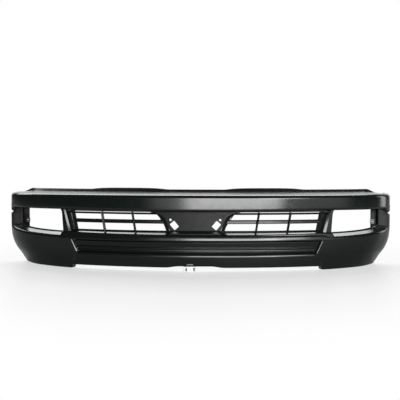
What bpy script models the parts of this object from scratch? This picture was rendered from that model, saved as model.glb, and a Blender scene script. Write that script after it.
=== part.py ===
"""Front bumper cover with its inserts, brackets, retainer strip and fasteners.

Metres, +Z up, X across the car, the front faces -Y.
The origin is on the floor in the middle of the bounding box.

Every long piece follows the plan curve of the bumper. A place on it is (station, inset, height):
the station is the arc length from the middle, and the inset is the distance behind the curve,
measured square to it.
"""
import math

import bmesh
import bpy
from mathutils import Matrix, Vector

# Plan curve: a shallow front arc, a tighter corner arc and a straight wing
FRONT_RADIUS = 1.65
FRONT_HALF_WIDTH = 0.731
CORNER_RADIUS = 0.290
WING_ANGLE = math.radians(84.0)
DEPTH = 0.512
WING_TRIM = 0.013

# Skin of the cover, and the gap left between pieces that touch
WALL = 0.003
FIT = 0.0003

# Heights of the cover's lines
TOP_REAR_Z = 0.3355
TOP_FRONT_Z = 0.3220
WING_TOP_Z = 0.3225
BAND_BOTTOM_Z = 0.2525
BAND_RISE = 0.005
GROOVE_Z = 0.2365
RECESS_FLOOR_Z = 0.1640
LEDGE_FRONT_Z = 0.1530
LEDGE_RISE = 0.006
LAMP_FLOOR_Z = 0.1580
LAMP_LEDGE_FRONT_Z = 0.1430
LAMP_RISE = 0.026
SHOULDER_TOP_Z = 0.1485
SHOULDER_BOTTOM_Z = 0.1290
LIP_TOP_Z = 0.0735
LIP_BOTTOM_Z = 0.0160
LIP_NOTCH = 0.0060

# Insets of the cover's faces
TOP_DEPTH = 0.088
WING_TOP_DEPTH = 0.026
REAR_FLANGE = 0.020
RECESS_DEPTH = 0.038
GROOVE_DEPTH = 0.010
RIB_RECESS_DEPTH = 0.016
LIP_RETURN = 0.046
LIP_RETURN_RISE = 0.0005
SKIRT_RETURN = 0.033

# The lower body curves under: full at the corners, a share of it where the skirts start
TUCK = 0.045
TUCK_TOP_Z = 0.185
TUCK_POWER = 2.8
TUCK_KNEE_Z = 0.042
FOOT_SLOPE = 0.58
SKIRT_TUCK_SHARE = 0.26

# Ends of the ribbed recess, start of the skirts and notch of the lip, as X
RIB_RECESS_X = 0.521
RIB_END_LEAN = 0.014
SKIRT_X = 0.541
STEP_LENGTH = 0.012
PANEL_END_GAP = 0.001
LIP_NOTCH_X = 0.070
LIP_NOTCH_END_X = 0.125

# Lamp openings and the corners outside them
LAMP_INNER_X = 0.5746
LAMP_CHAMFER = 0.012
LAMP_CORNER = 0.010
LAMP_SILL = 0.002
LAMP_OUTER_ANGLE = math.radians(61.5)
LAMP_CUT_ANGLE = math.radians(59.0)
POCKET_END_ANGLE = math.radians(59.5)
FLUSH_ANGLE = math.radians(63.5)
PILLAR_FRONT = 0.014
PILLAR_SLOPE = 0.005
PILLAR_SLOPE_SHARE = 0.40
PILLAR_GAP = 0.001
TOP_TAPER_ANGLE = math.radians(48.0)
TOP_NARROW_ANGLE = math.radians(70.0)

# Wheel arch that shapes the rear edge of each wing
ARCH_RADIUS = 0.360
ARCH_BEHIND = 0.200
ARCH_Z = 0.020

# Inserts in the long recess: rows, bars and ribs of the grilles
INSERT_WALL = 0.0070
INSERT_BOTTOM_Z = 0.1650
INSERT_TOP_Z = 0.2500
ROW_BOTTOM_Z = 0.1705
ROW_TOP_Z = 0.2382
BAR_Z = 0.2085
BAR_HEIGHT = 0.0168
BAR_FRONT = 0.006
RIB_X = (0.259, 0.393)
RIB_WIDTH = 0.0080
RIB_LEAN = 0.011
RIB_FRONT = 0.016
GRILLE_OUTER_X = 0.5215
GRILLE_OUTER_LEAN = 0.013
FRAME_OUTER = 0.028
FRAME_OUTER_LEAN = 0.0145
GRILLE_INNER_X = 0.1215
GRILLE_INNER_SLOPE = 0.032
GRILLE_INNER_CURVE = 0.050
FRAME_INNER = 0.015
WINDOW_MARGIN = 0.003

# Plate panel between the grilles
PLATE_WALL = 0.0035
PLATE_GAP = 0.0010
PLATE_FOOT_FRONT = 0.0105
PLATE_HOLE_X = 0.0889
PLATE_HOLE_Z = 0.1930
PLATE_HOLE_WIDTH = 0.025
PLATE_HOLE_HEIGHT = 0.0325
PLATE_HOLE_TILT = math.radians(40.0)
PLATE_DOT_X = 0.105
PLATE_DOT_Z = 0.2165
PLATE_DOT_R = 0.0050
PLATE_WINDOW = 0.0225

# Pegs moulded on the inserts, and the push nuts that grip them
PEG_R = 0.0025
PEG_LENGTH = 0.0100
PEG_ROOT = 0.0020
NUT_R = 0.0065
NUT_WALL = 0.0014
OUTER_PEGS = ((0.0180, 0.233), (0.0085, 0.180))
INNER_PEG = (-0.0050, 0.1705)
PLATE_PEGS = ((0.045, 0.176), (0.045, 0.238))
RIB_PEG_X = (0.160, 0.460)
RIB_PEG_Z = 0.1120

# Heights of the two ribs of the ribbed panel: upper edge and lower edge
UPPER_RIB_Z = (0.0985, 0.0945)
LOWER_RIB_Z = (0.0845, 0.0805)

# Upper retainer strip
STRIP_WALL = 0.003
STRIP_FOOT = 0.0205
STRIP_TOP_Z = 0.3440
STRIP_HUMP = 0.0060
STRIP_HUMP_X = 0.315
STRIP_HUMP_HALF = 0.180
STRIP_END_ANGLE = math.radians(59.0)
STRIP_TAPER = 0.020
STRIP_KNEE = 0.0005
STRIP_LEAN = 1.2

# Push-type retainers through the strip and the rear flange
RETAINER_X = (0.120, 0.380, 0.620)
RETAINER_DROP = 0.0120
GROMMET_R = 0.0035
GROMMET_BULGE = 0.0008
GROMMET_HEAD_R = 0.0080
GROMMET_HEAD = 0.0018
GROMMET_LEG = 0.0050
PIN_R = 0.0020
PIN_HEAD_R = 0.0055
PIN_HEAD = 0.0016

# Lamp bracket: a wall behind the outer end of each lamp opening
BRACKET_WALL = 0.0030
BRACKET_ANGLE = math.radians(70.7)
BRACKET_WIDTH = 0.0818
BRACKET_BOTTOM_Z = 0.1500
BRACKET_TOP_Z = 0.2530
BRACKET_NOTCH = 0.018
BRACKET_FLANGE = 0.022
BRACKET_FLANGE_BOTTOM_Z = 0.1910
BRACKET_UNDER_GROOVE = 0.0135
BOND_GAP = 0.0006
SCREW_IN = 0.0085
SCREW_Z = 0.1945
SCREW_HOLE_R = 0.0027
SCREW_CLEAR_R = 0.0037
SPEED_NUT_LENGTH = 0.019
SPEED_NUT_HEIGHT = 0.020
SPEED_NUT_WALL = 0.0012

# Side bracket: an angle rail on the rear flange of each wing
RAIL_WALL = 0.0030
RAIL_DROP = 0.0040
RAIL_HEIGHT = 0.0150
RAIL_LEG = 0.0180
RAIL_LENGTH = 0.100
RAIL_END_GAP = 0.022
RIVET_R = 0.0020
RIVET_HEAD_R = 0.0042
RIVET_HEAD = 0.0014
RIVET_SPACING = 0.070

# White clip that grips the return flange of the lip
CLIP_X = -0.024
CLIP_WIDTH = 0.050
CLIP_WALL = 0.0040
CLIP_FRONT = 0.0105
CLIP_HOOK = 0.018
SLOT_X = 0.0165
SLOT_WIDTH = 0.0070
SLOT_HEIGHT = 0.0090
SLOT_Z = 0.0030
SLOT_DEPTH = 0.0120

# Roundness of turned pieces and arches, and the grid that stations are rounded to
TURN_SIDES = 12
ARCH_SIDES = 72
STATION_ROUNDING = 0.00001

# How far cutters reach: through a wall, and past the ends of the wings
THROUGH = 0.020
FLANGE_THROUGH = 0.008
TRIM_INNER_X = 0.60
TRIM_OUTER_X = 1.10
TRIM_LOW_Z = -0.10
TRIM_HIGH_Z = 0.50

# Values that follow from the plan curve
FRONT_ANGLE = math.asin(FRONT_HALF_WIDTH / FRONT_RADIUS)
FRONT_LENGTH = FRONT_RADIUS * FRONT_ANGLE
CORNER_LENGTH = CORNER_RADIUS * (WING_ANGLE - FRONT_ANGLE)
FRONT_SAG = FRONT_RADIUS * (1.0 - math.cos(FRONT_ANGLE))
CORNER_SAG = CORNER_RADIUS * (math.cos(FRONT_ANGLE) - math.cos(WING_ANGLE))
WING_LENGTH = (DEPTH + WING_TRIM - FRONT_SAG - CORNER_SAG) / math.sin(WING_ANGLE)
HALF_LENGTH = FRONT_LENGTH + CORNER_LENGTH + WING_LENGTH


def clear_scene():
    """Remove every object that is there at the start."""
    for thing in list(bpy.data.objects):
        bpy.data.objects.remove(thing, do_unlink=True)


def make_material(name, colour, roughness, metallic=0.0):
    """A plain Principled material."""
    material = bpy.data.materials.new(name)
    material.use_nodes = True
    shader = material.node_tree.nodes["Principled BSDF"]
    shader.inputs["Base Color"].default_value = (*colour, 1.0)
    shader.inputs["Roughness"].default_value = roughness
    shader.inputs["Metallic"].default_value = metallic
    return material


def lerp(a, b, share):
    """Value between a and b."""
    return a + (b - a) * share


def ramp(value, start, end):
    """0 before start, 1 after end, straight between."""
    return min(max((value - start) / (end - start), 0.0), 1.0)


def smooth(value, start, end):
    """0 before start, 1 after end, with soft ends."""
    t = ramp(value, start, end)
    return t * t * (3.0 - 2.0 * t)


def steps(start, end, count):
    """count + 1 values from start to end."""
    return [lerp(start, end, i / count) for i in range(count + 1)]


def plan(station):
    """X, depth behind the front and heading of the plan curve at a station."""
    side = -1.0 if station < 0.0 else 1.0
    run = abs(station)
    angle = min(run, FRONT_LENGTH) / FRONT_RADIUS
    x = FRONT_RADIUS * math.sin(angle)
    depth = FRONT_RADIUS * (1.0 - math.cos(angle))
    if run > FRONT_LENGTH:
        angle = FRONT_ANGLE + min(run - FRONT_LENGTH, CORNER_LENGTH) / CORNER_RADIUS
        x += CORNER_RADIUS * (math.sin(angle) - math.sin(FRONT_ANGLE))
        depth += CORNER_RADIUS * (math.cos(FRONT_ANGLE) - math.cos(angle))
    straight = max(run - FRONT_LENGTH - CORNER_LENGTH, 0.0)
    x += straight * math.cos(angle)
    depth += straight * math.sin(angle)
    return side * x, depth, side * angle


def place(station, inset, z):
    """World position of a station, inset and height."""
    x, depth, angle = plan(station)
    return Vector((x - inset * math.sin(angle), depth + inset * math.cos(angle) - DEPTH / 2, z))


def at_x(x, inset=0.0):
    """Station where the front arc, carried back by inset, reaches x."""
    side = -1.0 if x < 0.0 else 1.0
    run = abs(x)
    if run <= FRONT_HALF_WIDTH:
        return side * FRONT_RADIUS * math.asin(run / (FRONT_RADIUS - inset))
    turn = math.asin(math.sin(FRONT_ANGLE) + (run - FRONT_HALF_WIDTH) / CORNER_RADIUS)
    return side * at_angle(turn)


def at_angle(angle):
    """Station on the right-hand corner with this heading."""
    return FRONT_LENGTH + CORNER_RADIUS * (angle - FRONT_ANGLE)


def frame_at(station, inset, z):
    """Frame at a place: its Z axis points straight back into the car, its Y axis up."""
    angle = plan(station)[2]
    back = Vector((-math.sin(angle), math.cos(angle), 0.0))
    up = Vector((0.0, 0.0, 1.0))
    across = up.cross(back)
    turn = Matrix((across, up, back)).transposed().to_4x4()
    return Matrix.Translation(place(station, inset, z)) @ turn


def add_loft(mesh, rings, caps="fan"):
    """Add a closed tube through rings of world points. A strip cap joins the two halves of a thin section."""
    grid = [[mesh.verts.new(point) for point in ring] for ring in rings]
    count = len(grid[0])
    for ring, after in zip(grid, grid[1:]):
        for i in range(count):
            j = (i + 1) % count
            mesh.faces.new((ring[i], ring[j], after[j], after[i]))
    for ring in (grid[0], grid[-1]):
        if caps == "fan":
            mesh.faces.new(ring)
            continue
        for i in range(count // 2 - 1):
            mesh.faces.new((ring[i], ring[i + 1], ring[count - 2 - i], ring[count - 1 - i]))


def add_turned(mesh, profile, frame, hollow=False):
    """Add a turned piece: (radius, height) points round the Z axis of frame.

    A hollow one closes on itself.
    """
    rings = []
    for radius, height in profile:
        ring = []
        for k in range(TURN_SIDES):
            turn = 2.0 * math.pi * k / TURN_SIDES
            point = Vector((radius * math.cos(turn), radius * math.sin(turn), height))
            ring.append(mesh.verts.new(frame @ point))
        rings.append(ring)
    pairs = list(zip(rings, rings[1:]))
    if hollow:
        pairs.append((rings[-1], rings[0]))
    for ring, after in pairs:
        for k in range(TURN_SIDES):
            j = (k + 1) % TURN_SIDES
            mesh.faces.new((ring[k], ring[j], after[j], after[k]))
    if not hollow:
        mesh.faces.new(rings[0])
        mesh.faces.new(rings[-1])


def add_box(mesh, low, high):
    """Add a box between two world corners."""
    rings = []
    for x in (low[0], high[0]):
        ring = [(x, low[1], low[2]), (x, high[1], low[2]), (x, high[1], high[2]), (x, low[1], high[2])]
        rings.append([Vector(corner) for corner in ring])
    add_loft(mesh, rings)


def to_object(name, mesh, material=None):
    """Turn a bmesh into an object. Without a material it is a cutter."""
    bmesh.ops.recalc_face_normals(mesh, faces=mesh.faces)
    data = bpy.data.meshes.new(name)
    mesh.to_mesh(data)
    mesh.free()
    thing = bpy.data.objects.new(name, data)
    bpy.context.scene.collection.objects.link(thing)
    if material:
        data.materials.append(material)
    else:
        thing.hide_render = True
        thing.display_type = "WIRE"
    return thing


def combine(thing, operation, other):
    """Boolean with another object."""
    change = thing.modifiers.new(operation.lower(), "BOOLEAN")
    change.operation = operation
    change.solver = "EXACT"
    change.object = other


def tuck(z, share=1.0):
    """Inset of the lower body: it curves under down to a knee, then runs straight to the foot."""
    curve = max((TUCK_TOP_Z - max(z, TUCK_KNEE_Z)) / (TUCK_TOP_Z - TUCK_KNEE_Z), 0.0)
    foot = FOOT_SLOPE * max(TUCK_KNEE_Z - z, 0.0)
    return share * (TUCK * curve ** TUCK_POWER + foot)


def wing_share(station):
    """0 on the front, 1 on the wings, where the top surface is narrow."""
    return smooth(abs(station), at_angle(TOP_TAPER_ANGLE), at_angle(TOP_NARROW_ANGLE))


def top_depth(station):
    """Depth of the top surface: wide on the front, narrow on the wings."""
    return lerp(TOP_DEPTH, WING_TOP_DEPTH, wing_share(station))


def top_rear_z(station):
    """Height of the rear edge of the top surface."""
    return lerp(TOP_REAR_Z, WING_TOP_Z, wing_share(station))


def front_share(station):
    """0 in the middle, growing with the square of the distance to 1 at the skirts."""
    return min(abs(station) / at_x(SKIRT_X), 1.0) ** 2


def lamp_share(station):
    """0 at the inner end of a lamp opening, growing with the square of the distance to 1 at its outer end."""
    return ramp(abs(station), at_x(LAMP_INNER_X), at_angle(LAMP_OUTER_ANGLE)) ** 2


def band_bottom_z(station):
    """Lower edge of the band, a little higher at the ends."""
    return BAND_BOTTOM_Z + BAND_RISE * front_share(station)


def lamp_ledge_z(station):
    """Front edge of the ledge under a lamp opening."""
    return LAMP_LEDGE_FRONT_Z + LAMP_RISE * lamp_share(station)


def lamp_floor_z(station):
    """Foot of the recess wall under a lamp opening."""
    return LAMP_FLOOR_Z + LAMP_RISE * lamp_share(station)


def lip_bottom_z(station):
    """Lower edge of the lip, with a shallow notch in the middle."""
    x = abs(plan(station)[0])
    return LIP_BOTTOM_Z + LIP_NOTCH * (1.0 - ramp(x, LIP_NOTCH_X, LIP_NOTCH_END_X))


def upper_points(station, bottom_z):
    """Rear flange, top surface and band, down to the lower edge of the band."""
    rear = top_depth(station)
    rear_z = top_rear_z(station)
    return [
        (rear, rear_z - REAR_FLANGE),
        (rear, rear_z),
        (0.0120, TOP_FRONT_Z),
        (0.0060, TOP_FRONT_Z - 0.0035),
        (0.0018, TOP_FRONT_Z - 0.0085),
        (0.0, TOP_FRONT_Z - 0.0135),
        (0.0, bottom_z + 0.0080),
        (0.0012, bottom_z + 0.0040),
        (0.0035, bottom_z + 0.0013),
        (0.0080, bottom_z),
    ]


def groove_heights():
    """Heights of the lower side of the groove on the wings."""
    return [GROOVE_Z - 0.0055, GROOVE_Z - 0.0075, GROOVE_Z - 0.0110]


def recess_points(band_z, floor_z, ledge_front_z, ledge_front):
    """The long recess under the band, down to the front edge of its ledge."""
    return [
        (RECESS_DEPTH - 0.003, band_z + 0.002),
        (RECESS_DEPTH, band_z - 0.001),
    ] + [(RECESS_DEPTH, z) for z in groove_heights()] + [
        (RECESS_DEPTH, floor_z),
        (RECESS_DEPTH - 0.004, floor_z - 0.004),
        (ledge_front + 0.0025, ledge_front_z),
        (ledge_front, ledge_front_z - 0.0023),
    ]


def centre_outline(station):
    """Outside of the skin in the middle: shoulder bead, ribbed recess and lip."""
    band_z = band_bottom_z(station)
    rise = LEDGE_RISE * front_share(station)
    recess = recess_points(band_z, RECESS_FLOOR_Z, LEDGE_FRONT_Z + rise, 0.0075)
    lip_z = lip_bottom_z(station)
    return upper_points(station, band_z) + recess + [
        (0.0068, SHOULDER_TOP_Z + 0.0015),
        (0.0046, SHOULDER_TOP_Z),
        (0.0024, SHOULDER_TOP_Z - 0.0060),
        (0.0010, SHOULDER_TOP_Z - 0.0120),
        (0.0003, SHOULDER_BOTTOM_Z + 0.0020),
        (0.0022, SHOULDER_BOTTOM_Z - 0.0022),
        (RIB_RECESS_DEPTH - 0.0010, SHOULDER_BOTTOM_Z - 0.0028),
        (RIB_RECESS_DEPTH, SHOULDER_BOTTOM_Z - 0.0040),
        (RIB_RECESS_DEPTH, LIP_TOP_Z + 0.0030),
        (RIB_RECESS_DEPTH - 0.0010, LIP_TOP_Z + 0.0018),
        (0.0040, LIP_TOP_Z),
        (0.0016, LIP_TOP_Z - 0.0055),
        (0.0005, LIP_TOP_Z - 0.0105),
        (0.0095, lip_z + 0.0040),
        (0.0125, lip_z),
        (LIP_RETURN, lip_z + LIP_RETURN_RISE),
    ]


def skirt_points(share):
    """The lower body that curves under, from below the lamp to the floor."""
    heights = (0.130, 0.126, 0.121, 0.109, 0.095, 0.084, 0.078, 0.0735, 0.068, 0.062, TUCK_KNEE_Z)
    points = [(tuck(z, share), z) for z in heights]
    foot = tuck(0.0, share)
    return points + [(foot + 0.001, 0.0), (foot + SKIRT_RETURN, 0.0)]


def lamp_outline(station, share):
    """Outside of the skin under a lamp opening."""
    band_z = band_bottom_z(station)
    ledge_z = lamp_ledge_z(station)
    recess = recess_points(band_z, lamp_floor_z(station), ledge_z, 0.0045)
    face = [(0.0015, ledge_z - 0.0050), (0.0005, ledge_z - 0.0080), (0.0, ledge_z - 0.0105)]
    face = [(inset + tuck(z, share), z) for inset, z in face]
    return upper_points(station, band_z) + recess + face + skirt_points(share)


def wing_outline(station):
    """Outside of the skin on a wing: a groove under the band, then the plain side.

    The side's points lie at the heights of the lamp section, which it joins.
    """
    groove = [(GROOVE_DEPTH - 0.0005, GROOVE_Z + 0.0003), (GROOVE_DEPTH, GROOVE_Z - 0.0015)]
    groove += zip((GROOVE_DEPTH - 0.0020, 0.0012, 0.0), groove_heights())
    floor_z = lamp_floor_z(station)
    ledge_z = lamp_ledge_z(station)
    heights = [floor_z, floor_z - 0.0040, ledge_z, ledge_z - 0.0023]
    heights += [ledge_z - 0.0050, ledge_z - 0.0080, ledge_z - 0.0105]
    side = [(tuck(z), z) for z in heights]
    return upper_points(station, GROOVE_Z) + groove + side + skirt_points(1.0)


def blend(first, second, share):
    """Outline between two outlines. The share may be a number or one number for each point."""
    shares = share if isinstance(share, list) else [share] * len(first)
    return [(lerp(a[0], b[0], t), lerp(a[1], b[1], t)) for a, b, t in zip(first, second, shares)]


def lamp_station():
    """Station of the inner edge of a lamp opening."""
    return at_x(LAMP_INNER_X, RECESS_DEPTH)


def lamp_blend(station):
    """0 inside the lamp openings, 1 from a little way past their inner edge."""
    return ramp(abs(station), lamp_station(), lamp_station() + LAMP_CHAMFER)


def cover_outline(station):
    """Outside of the skin at any station."""
    run = abs(station)
    share = lerp(SKIRT_TUCK_SHARE, 1.0, smooth(run, at_x(SKIRT_X), at_angle(LAMP_OUTER_ANGLE)))
    centre = centre_outline(station)
    lamp = lamp_outline(station, share)
    to_lamp = lamp_blend(station)
    to_recess_end = ramp(run, at_x(RIB_RECESS_X), at_x(RIB_RECESS_X + STEP_LENGTH + RIB_END_LEAN))
    to_recess_foot = ramp(run, at_x(RIB_RECESS_X), at_x(RIB_RECESS_X + STEP_LENGTH))
    to_skirt = ramp(run, at_x(SKIRT_X), at_x(SKIRT_X + STEP_LENGTH))
    shares = [to_lamp] * 19 + [to_recess_end] * 8 + [to_recess_foot] * 5 + [to_skirt] * 3
    to_wing = ramp(run, at_angle(POCKET_END_ANGLE), at_angle(FLUSH_ANGLE))
    return blend(blend(centre, lamp, shares), wing_outline(station), to_wing)


def inside_of(outline):
    """The same outline moved inwards by the wall thickness."""
    normals = []
    for (a, b), (c, d) in zip(outline, outline[1:]):
        length = math.hypot(c - a, d - b)
        normals.append(((b - d) / length, (c - a) / length))
    ends = [normals[0]] + normals
    after = normals + [normals[-1]]
    moved = []
    for (inset, z), one, two in zip(outline, ends, after):
        mid = (one[0] + two[0], one[1] + two[1])
        scale = 2.0 * WALL / (mid[0] ** 2 + mid[1] ** 2)
        moved.append((inset + mid[0] * scale, z + mid[1] * scale))
    return moved


def strip_end():
    """Station of the right-hand end of the upper strip."""
    return at_angle(STRIP_END_ANGLE)


def cover_stations():
    """Stations of the cover: even on the front arc, closer at each change of section and on the corners."""
    right = steps(0.0, at_x(0.480), 8)
    right += [at_x(LIP_NOTCH_X), at_x(LIP_NOTCH_END_X)]
    right += [at_x(RIB_RECESS_X + step) for step in (0.0, STEP_LENGTH, STEP_LENGTH + RIB_END_LEAN)]
    right += [at_x(SKIRT_X), at_x(SKIRT_X + STEP_LENGTH)]
    right += [lamp_station(), lamp_station() + LAMP_CHAMFER]
    right += steps(at_x(0.655), FRONT_LENGTH, 1)
    right += steps(FRONT_LENGTH, at_angle(POCKET_END_ANGLE), 6)[1:]
    right += steps(at_angle(FLUSH_ANGLE), FRONT_LENGTH + CORNER_LENGTH, 3)
    right += [strip_end() - STRIP_TAPER, strip_end(), HALF_LENGTH]
    right = sorted(set(round(s / STATION_ROUNDING) * STATION_ROUNDING for s in right))
    return [-s for s in reversed(right[1:])] + right


def add_cover_skin(mesh):
    """The swept skin of the cover, before its openings."""
    rings = []
    for station in cover_stations():
        outline = cover_outline(station)
        loop = outline + list(reversed(inside_of(outline)))
        rings.append([place(station, inset, z) for inset, z in loop])
    add_loft(mesh, rings, caps="strip")


def add_panel(mesh, inner_x, outer_x, heights, front, back, count):
    """Add a curved plate. Its ends are functions of height that give X, measured at the back face."""
    rings = []
    for share in steps(0.0, 1.0, count):
        loop = []
        for inset, order in ((front, heights), (back, list(reversed(heights)))):
            for z in order:
                x = lerp(inner_x(z), outer_x(z), share)
                loop.append(place(at_x(x, back), inset, z))
        rings.append(loop)
    add_loft(mesh, rings, caps="strip")


def leaning(x, lean):
    """X of a line that leans outwards as it rises, as a function of height."""
    middle = (ROW_BOTTOM_Z + ROW_TOP_Z) / 2
    height = ROW_TOP_Z - ROW_BOTTOM_Z
    return lambda z: x + lean * (z - middle) / height


def grille_inner_x(z):
    """X of the inner end of the grille opening: nearly straight, then curving outwards at the top."""
    share = (z - INSERT_BOTTOM_Z) / (INSERT_TOP_Z - INSERT_BOTTOM_Z)
    return GRILLE_INNER_X + GRILLE_INNER_SLOPE * share + GRILLE_INNER_CURVE * share ** 8


def frame_inner_x(z):
    """X of the inner edge of the grille frame."""
    return grille_inner_x(z) - FRAME_INNER


def frame_outer_x():
    """X of the outer edge of the grille frame, as a function of height."""
    return leaning(GRILLE_OUTER_X + FRAME_OUTER, FRAME_OUTER_LEAN)


def grille_pegs():
    """Peg places of the right-hand grille."""
    places = [(GRILLE_OUTER_X + x, z) for x, z in OUTER_PEGS]
    return places + [(GRILLE_INNER_X + INNER_PEG[0], INNER_PEG[1])]


def mirrored(function, side):
    """The same X function on the left or the right."""
    return lambda z: side * function(z)


def grille_heights():
    """Heights at which the curved inner end is drawn."""
    return [INSERT_BOTTOM_Z, 0.186, BAR_Z, 0.225, 0.237, 0.244, INSERT_TOP_Z]


def grille_cells():
    """The see-through cells of a grille: (inner end, outer end, bottom, top)."""
    edges = [grille_inner_x]
    for x in RIB_X:
        edges += [leaning(x - RIB_WIDTH / 2, RIB_LEAN), leaning(x + RIB_WIDTH / 2, RIB_LEAN)]
    edges.append(leaning(GRILLE_OUTER_X, GRILLE_OUTER_LEAN))
    rows = [(ROW_BOTTOM_Z, BAR_Z - BAR_HEIGHT / 2), (BAR_Z + BAR_HEIGHT / 2, ROW_TOP_Z)]
    return [(edges[i], edges[i + 1], low, high) for i in (0, 2, 4) for low, high in rows]


def insert_back():
    """Inset of the back of the inserts, just clear of the recess wall."""
    return RECESS_DEPTH - FIT


def add_peg(mesh, x, z, back):
    """A moulded peg that points back from an insert."""
    profile = [(PEG_R, -PEG_ROOT), (PEG_R, PEG_LENGTH)]
    add_turned(mesh, profile, frame_at(at_x(x, back), back, z))


def add_peg_hole(mesh, x, z, back):
    """Cutter for the hole a peg passes through."""
    profile = [(PEG_R + FIT, -PEG_LENGTH), (PEG_R + FIT, PEG_LENGTH)]
    add_turned(mesh, profile, frame_at(at_x(x, back), back, z))


def make_push_nut(name, x, z, back, material):
    """A stamped push nut on a peg, behind the wall of the cover."""
    start = WALL + 2 * FIT
    bore = PEG_R + FIT
    profile = [(bore, start), (NUT_R, start), (NUT_R, start + NUT_WALL), (bore, start + NUT_WALL)]
    mesh = bmesh.new()
    add_turned(mesh, profile, frame_at(at_x(x, back), back, z), hollow=True)
    to_object(name, mesh, material)


def add_pegs(insert, places, back, nut_material):
    """Join pegs to an insert and put a push nut on each one."""
    pegs = bmesh.new()
    for number, (x, z) in enumerate(places, 1):
        add_peg(pegs, x, z, back)
        make_push_nut(f"{insert.name}_push_nut_{number}", x, z, back, nut_material)
    combine(insert, "UNION", to_object(f"{insert.name}_pegs", pegs))


def rib_back():
    """Inset of the back of the ribbed panel."""
    return RIB_RECESS_DEPTH - FIT


def rib_pegs():
    """Peg places of the ribbed panel."""
    return [(side * x, RIB_PEG_Z) for x in RIB_PEG_X for side in (-1, 1)]


def plate_pegs():
    """Peg places of the plate panel."""
    return [(side * x, z) for x, z in PLATE_PEGS for side in (-1, 1)]


def retainer_places():
    """Name, station and height of each push-type retainer."""
    spots = []
    for side, word in ((-1, "left"), (1, "right")):
        for x, which in zip(RETAINER_X, ("inner", "middle", "outer")):
            station = at_x(side * x, TOP_DEPTH)
            spots.append((f"{word}_{which}", station, top_rear_z(station) - RETAINER_DROP))
    return spots


def rail_start():
    """Station of the front end of a side rail."""
    return HALF_LENGTH - RAIL_END_GAP - RAIL_LENGTH


def rivet_places(side):
    """Station and height of the rivets of one side rail."""
    middle = rail_start() + RAIL_LENGTH / 2
    places = []
    for step in (-RIVET_SPACING / 2, RIVET_SPACING / 2):
        station = middle + step
        places.append((side * station, top_rear_z(station) - REAR_FLANGE / 2))
    return places


def add_lamp_opening(mesh, side, front, back):
    """Cutter for a lamp opening, with a cut corner at its upper inner end."""
    start = lamp_station()
    rings = []
    for station in [start] + steps(start + LAMP_CORNER, at_angle(LAMP_CUT_ANGLE), 8):
        low = lerp(RECESS_FLOOR_Z, lamp_floor_z(station), lamp_blend(station)) + LAMP_SILL
        corner = LAMP_CORNER if station == start else 0.0
        high = band_bottom_z(station) - 0.003 - corner
        loop = [(front, low), (back, low), (back, high), (front, high)]
        rings.append([place(side * station, inset, z) for inset, z in loop])
    add_loft(mesh, rings)


def add_cover_openings(mesh):
    """Cutters for the openings of the cover: grilles, plate holes, lamps, wheel arches and fastener holes."""
    front = RECESS_DEPTH - 0.010
    back = RECESS_DEPTH + 0.012
    low = ROW_BOTTOM_Z - WINDOW_MARGIN
    high = ROW_TOP_Z + WINDOW_MARGIN
    heights = [low, BAR_Z, 0.233, high]
    for side in (-1, 1):
        inner = mirrored(lambda z: grille_inner_x(z) - WINDOW_MARGIN, side)
        outer = mirrored(leaning(GRILLE_OUTER_X + WINDOW_MARGIN, GRILLE_OUTER_LEAN), side)
        add_panel(mesh, inner, outer, heights, front, back, 8)
        plate_low = PLATE_HOLE_Z - PLATE_WINDOW
        plate_high = PLATE_DOT_Z + PLATE_DOT_R + WINDOW_MARGIN
        inner = mirrored(lambda z: PLATE_HOLE_X - PLATE_WINDOW, side)
        outer = mirrored(lambda z: PLATE_HOLE_X + PLATE_WINDOW, side)
        add_panel(mesh, inner, outer, [plate_low, plate_high], front, back, 2)
        add_lamp_opening(mesh, side, front, back)
        for x, z in grille_pegs():
            add_peg_hole(mesh, side * x, z, insert_back())
        for station, z in rivet_places(side):
            hole = [(RIVET_R + FIT, -FLANGE_THROUGH), (RIVET_R + FIT, FLANGE_THROUGH)]
            add_turned(mesh, hole, frame_at(station, top_depth(station), z))
    for x, z in plate_pegs():
        add_peg_hole(mesh, x, z, insert_back())
    for x, z in rib_pegs():
        add_peg_hole(mesh, x, z, rib_back())
    for name, station, z in retainer_places():
        hole = [(GROMMET_R + FIT, -FLANGE_THROUGH), (GROMMET_R + FIT, FLANGE_THROUGH)]
        add_turned(mesh, hole, frame_at(station, top_depth(station), z))


def add_pillar(mesh, side, shrink, back):
    """Add the raised post between a grille and a lamp opening, or its hollow when it is shrunk by the wall.

    Its face slopes back towards the grille.
    """
    outer = lamp_station() - shrink
    frame_edge = frame_outer_x()
    rings = []
    for z in (RECESS_FLOOR_Z - 0.001 + shrink, BAND_BOTTOM_Z + 0.001 - shrink):
        inner = at_x(frame_edge(z) + PILLAR_GAP, insert_back()) + shrink
        front = PILLAR_FRONT + shrink
        edge = lerp(inner, outer, PILLAR_SLOPE_SHARE)
        loop = [(inner, front + PILLAR_SLOPE), (edge, front), (outer, front), (outer, back), (inner, back)]
        rings.append([place(side * station, inset, z) for station, inset in loop])
    add_loft(mesh, rings)


def add_pillars(mesh):
    """Both raised posts."""
    for side in (-1, 1):
        add_pillar(mesh, side, 0.0, RECESS_DEPTH + WALL / 2)


def add_pillar_hollows(mesh):
    """Cutters for the hollows of the posts, open at the back."""
    for side in (-1, 1):
        add_pillar(mesh, side, WALL, RECESS_DEPTH + 2 * WALL)


def add_rear_trim(mesh):
    """Cutters that shape the rear end of the wings: a flat end and a wheel arch."""
    rear = DEPTH / 2
    for side in (-1, 1):
        ends = sorted((side * TRIM_INNER_X, side * TRIM_OUTER_X))
        add_box(mesh, (ends[0], rear, TRIM_LOW_Z), (ends[1], rear + ARCH_BEHIND, TRIM_HIGH_Z))


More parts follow.
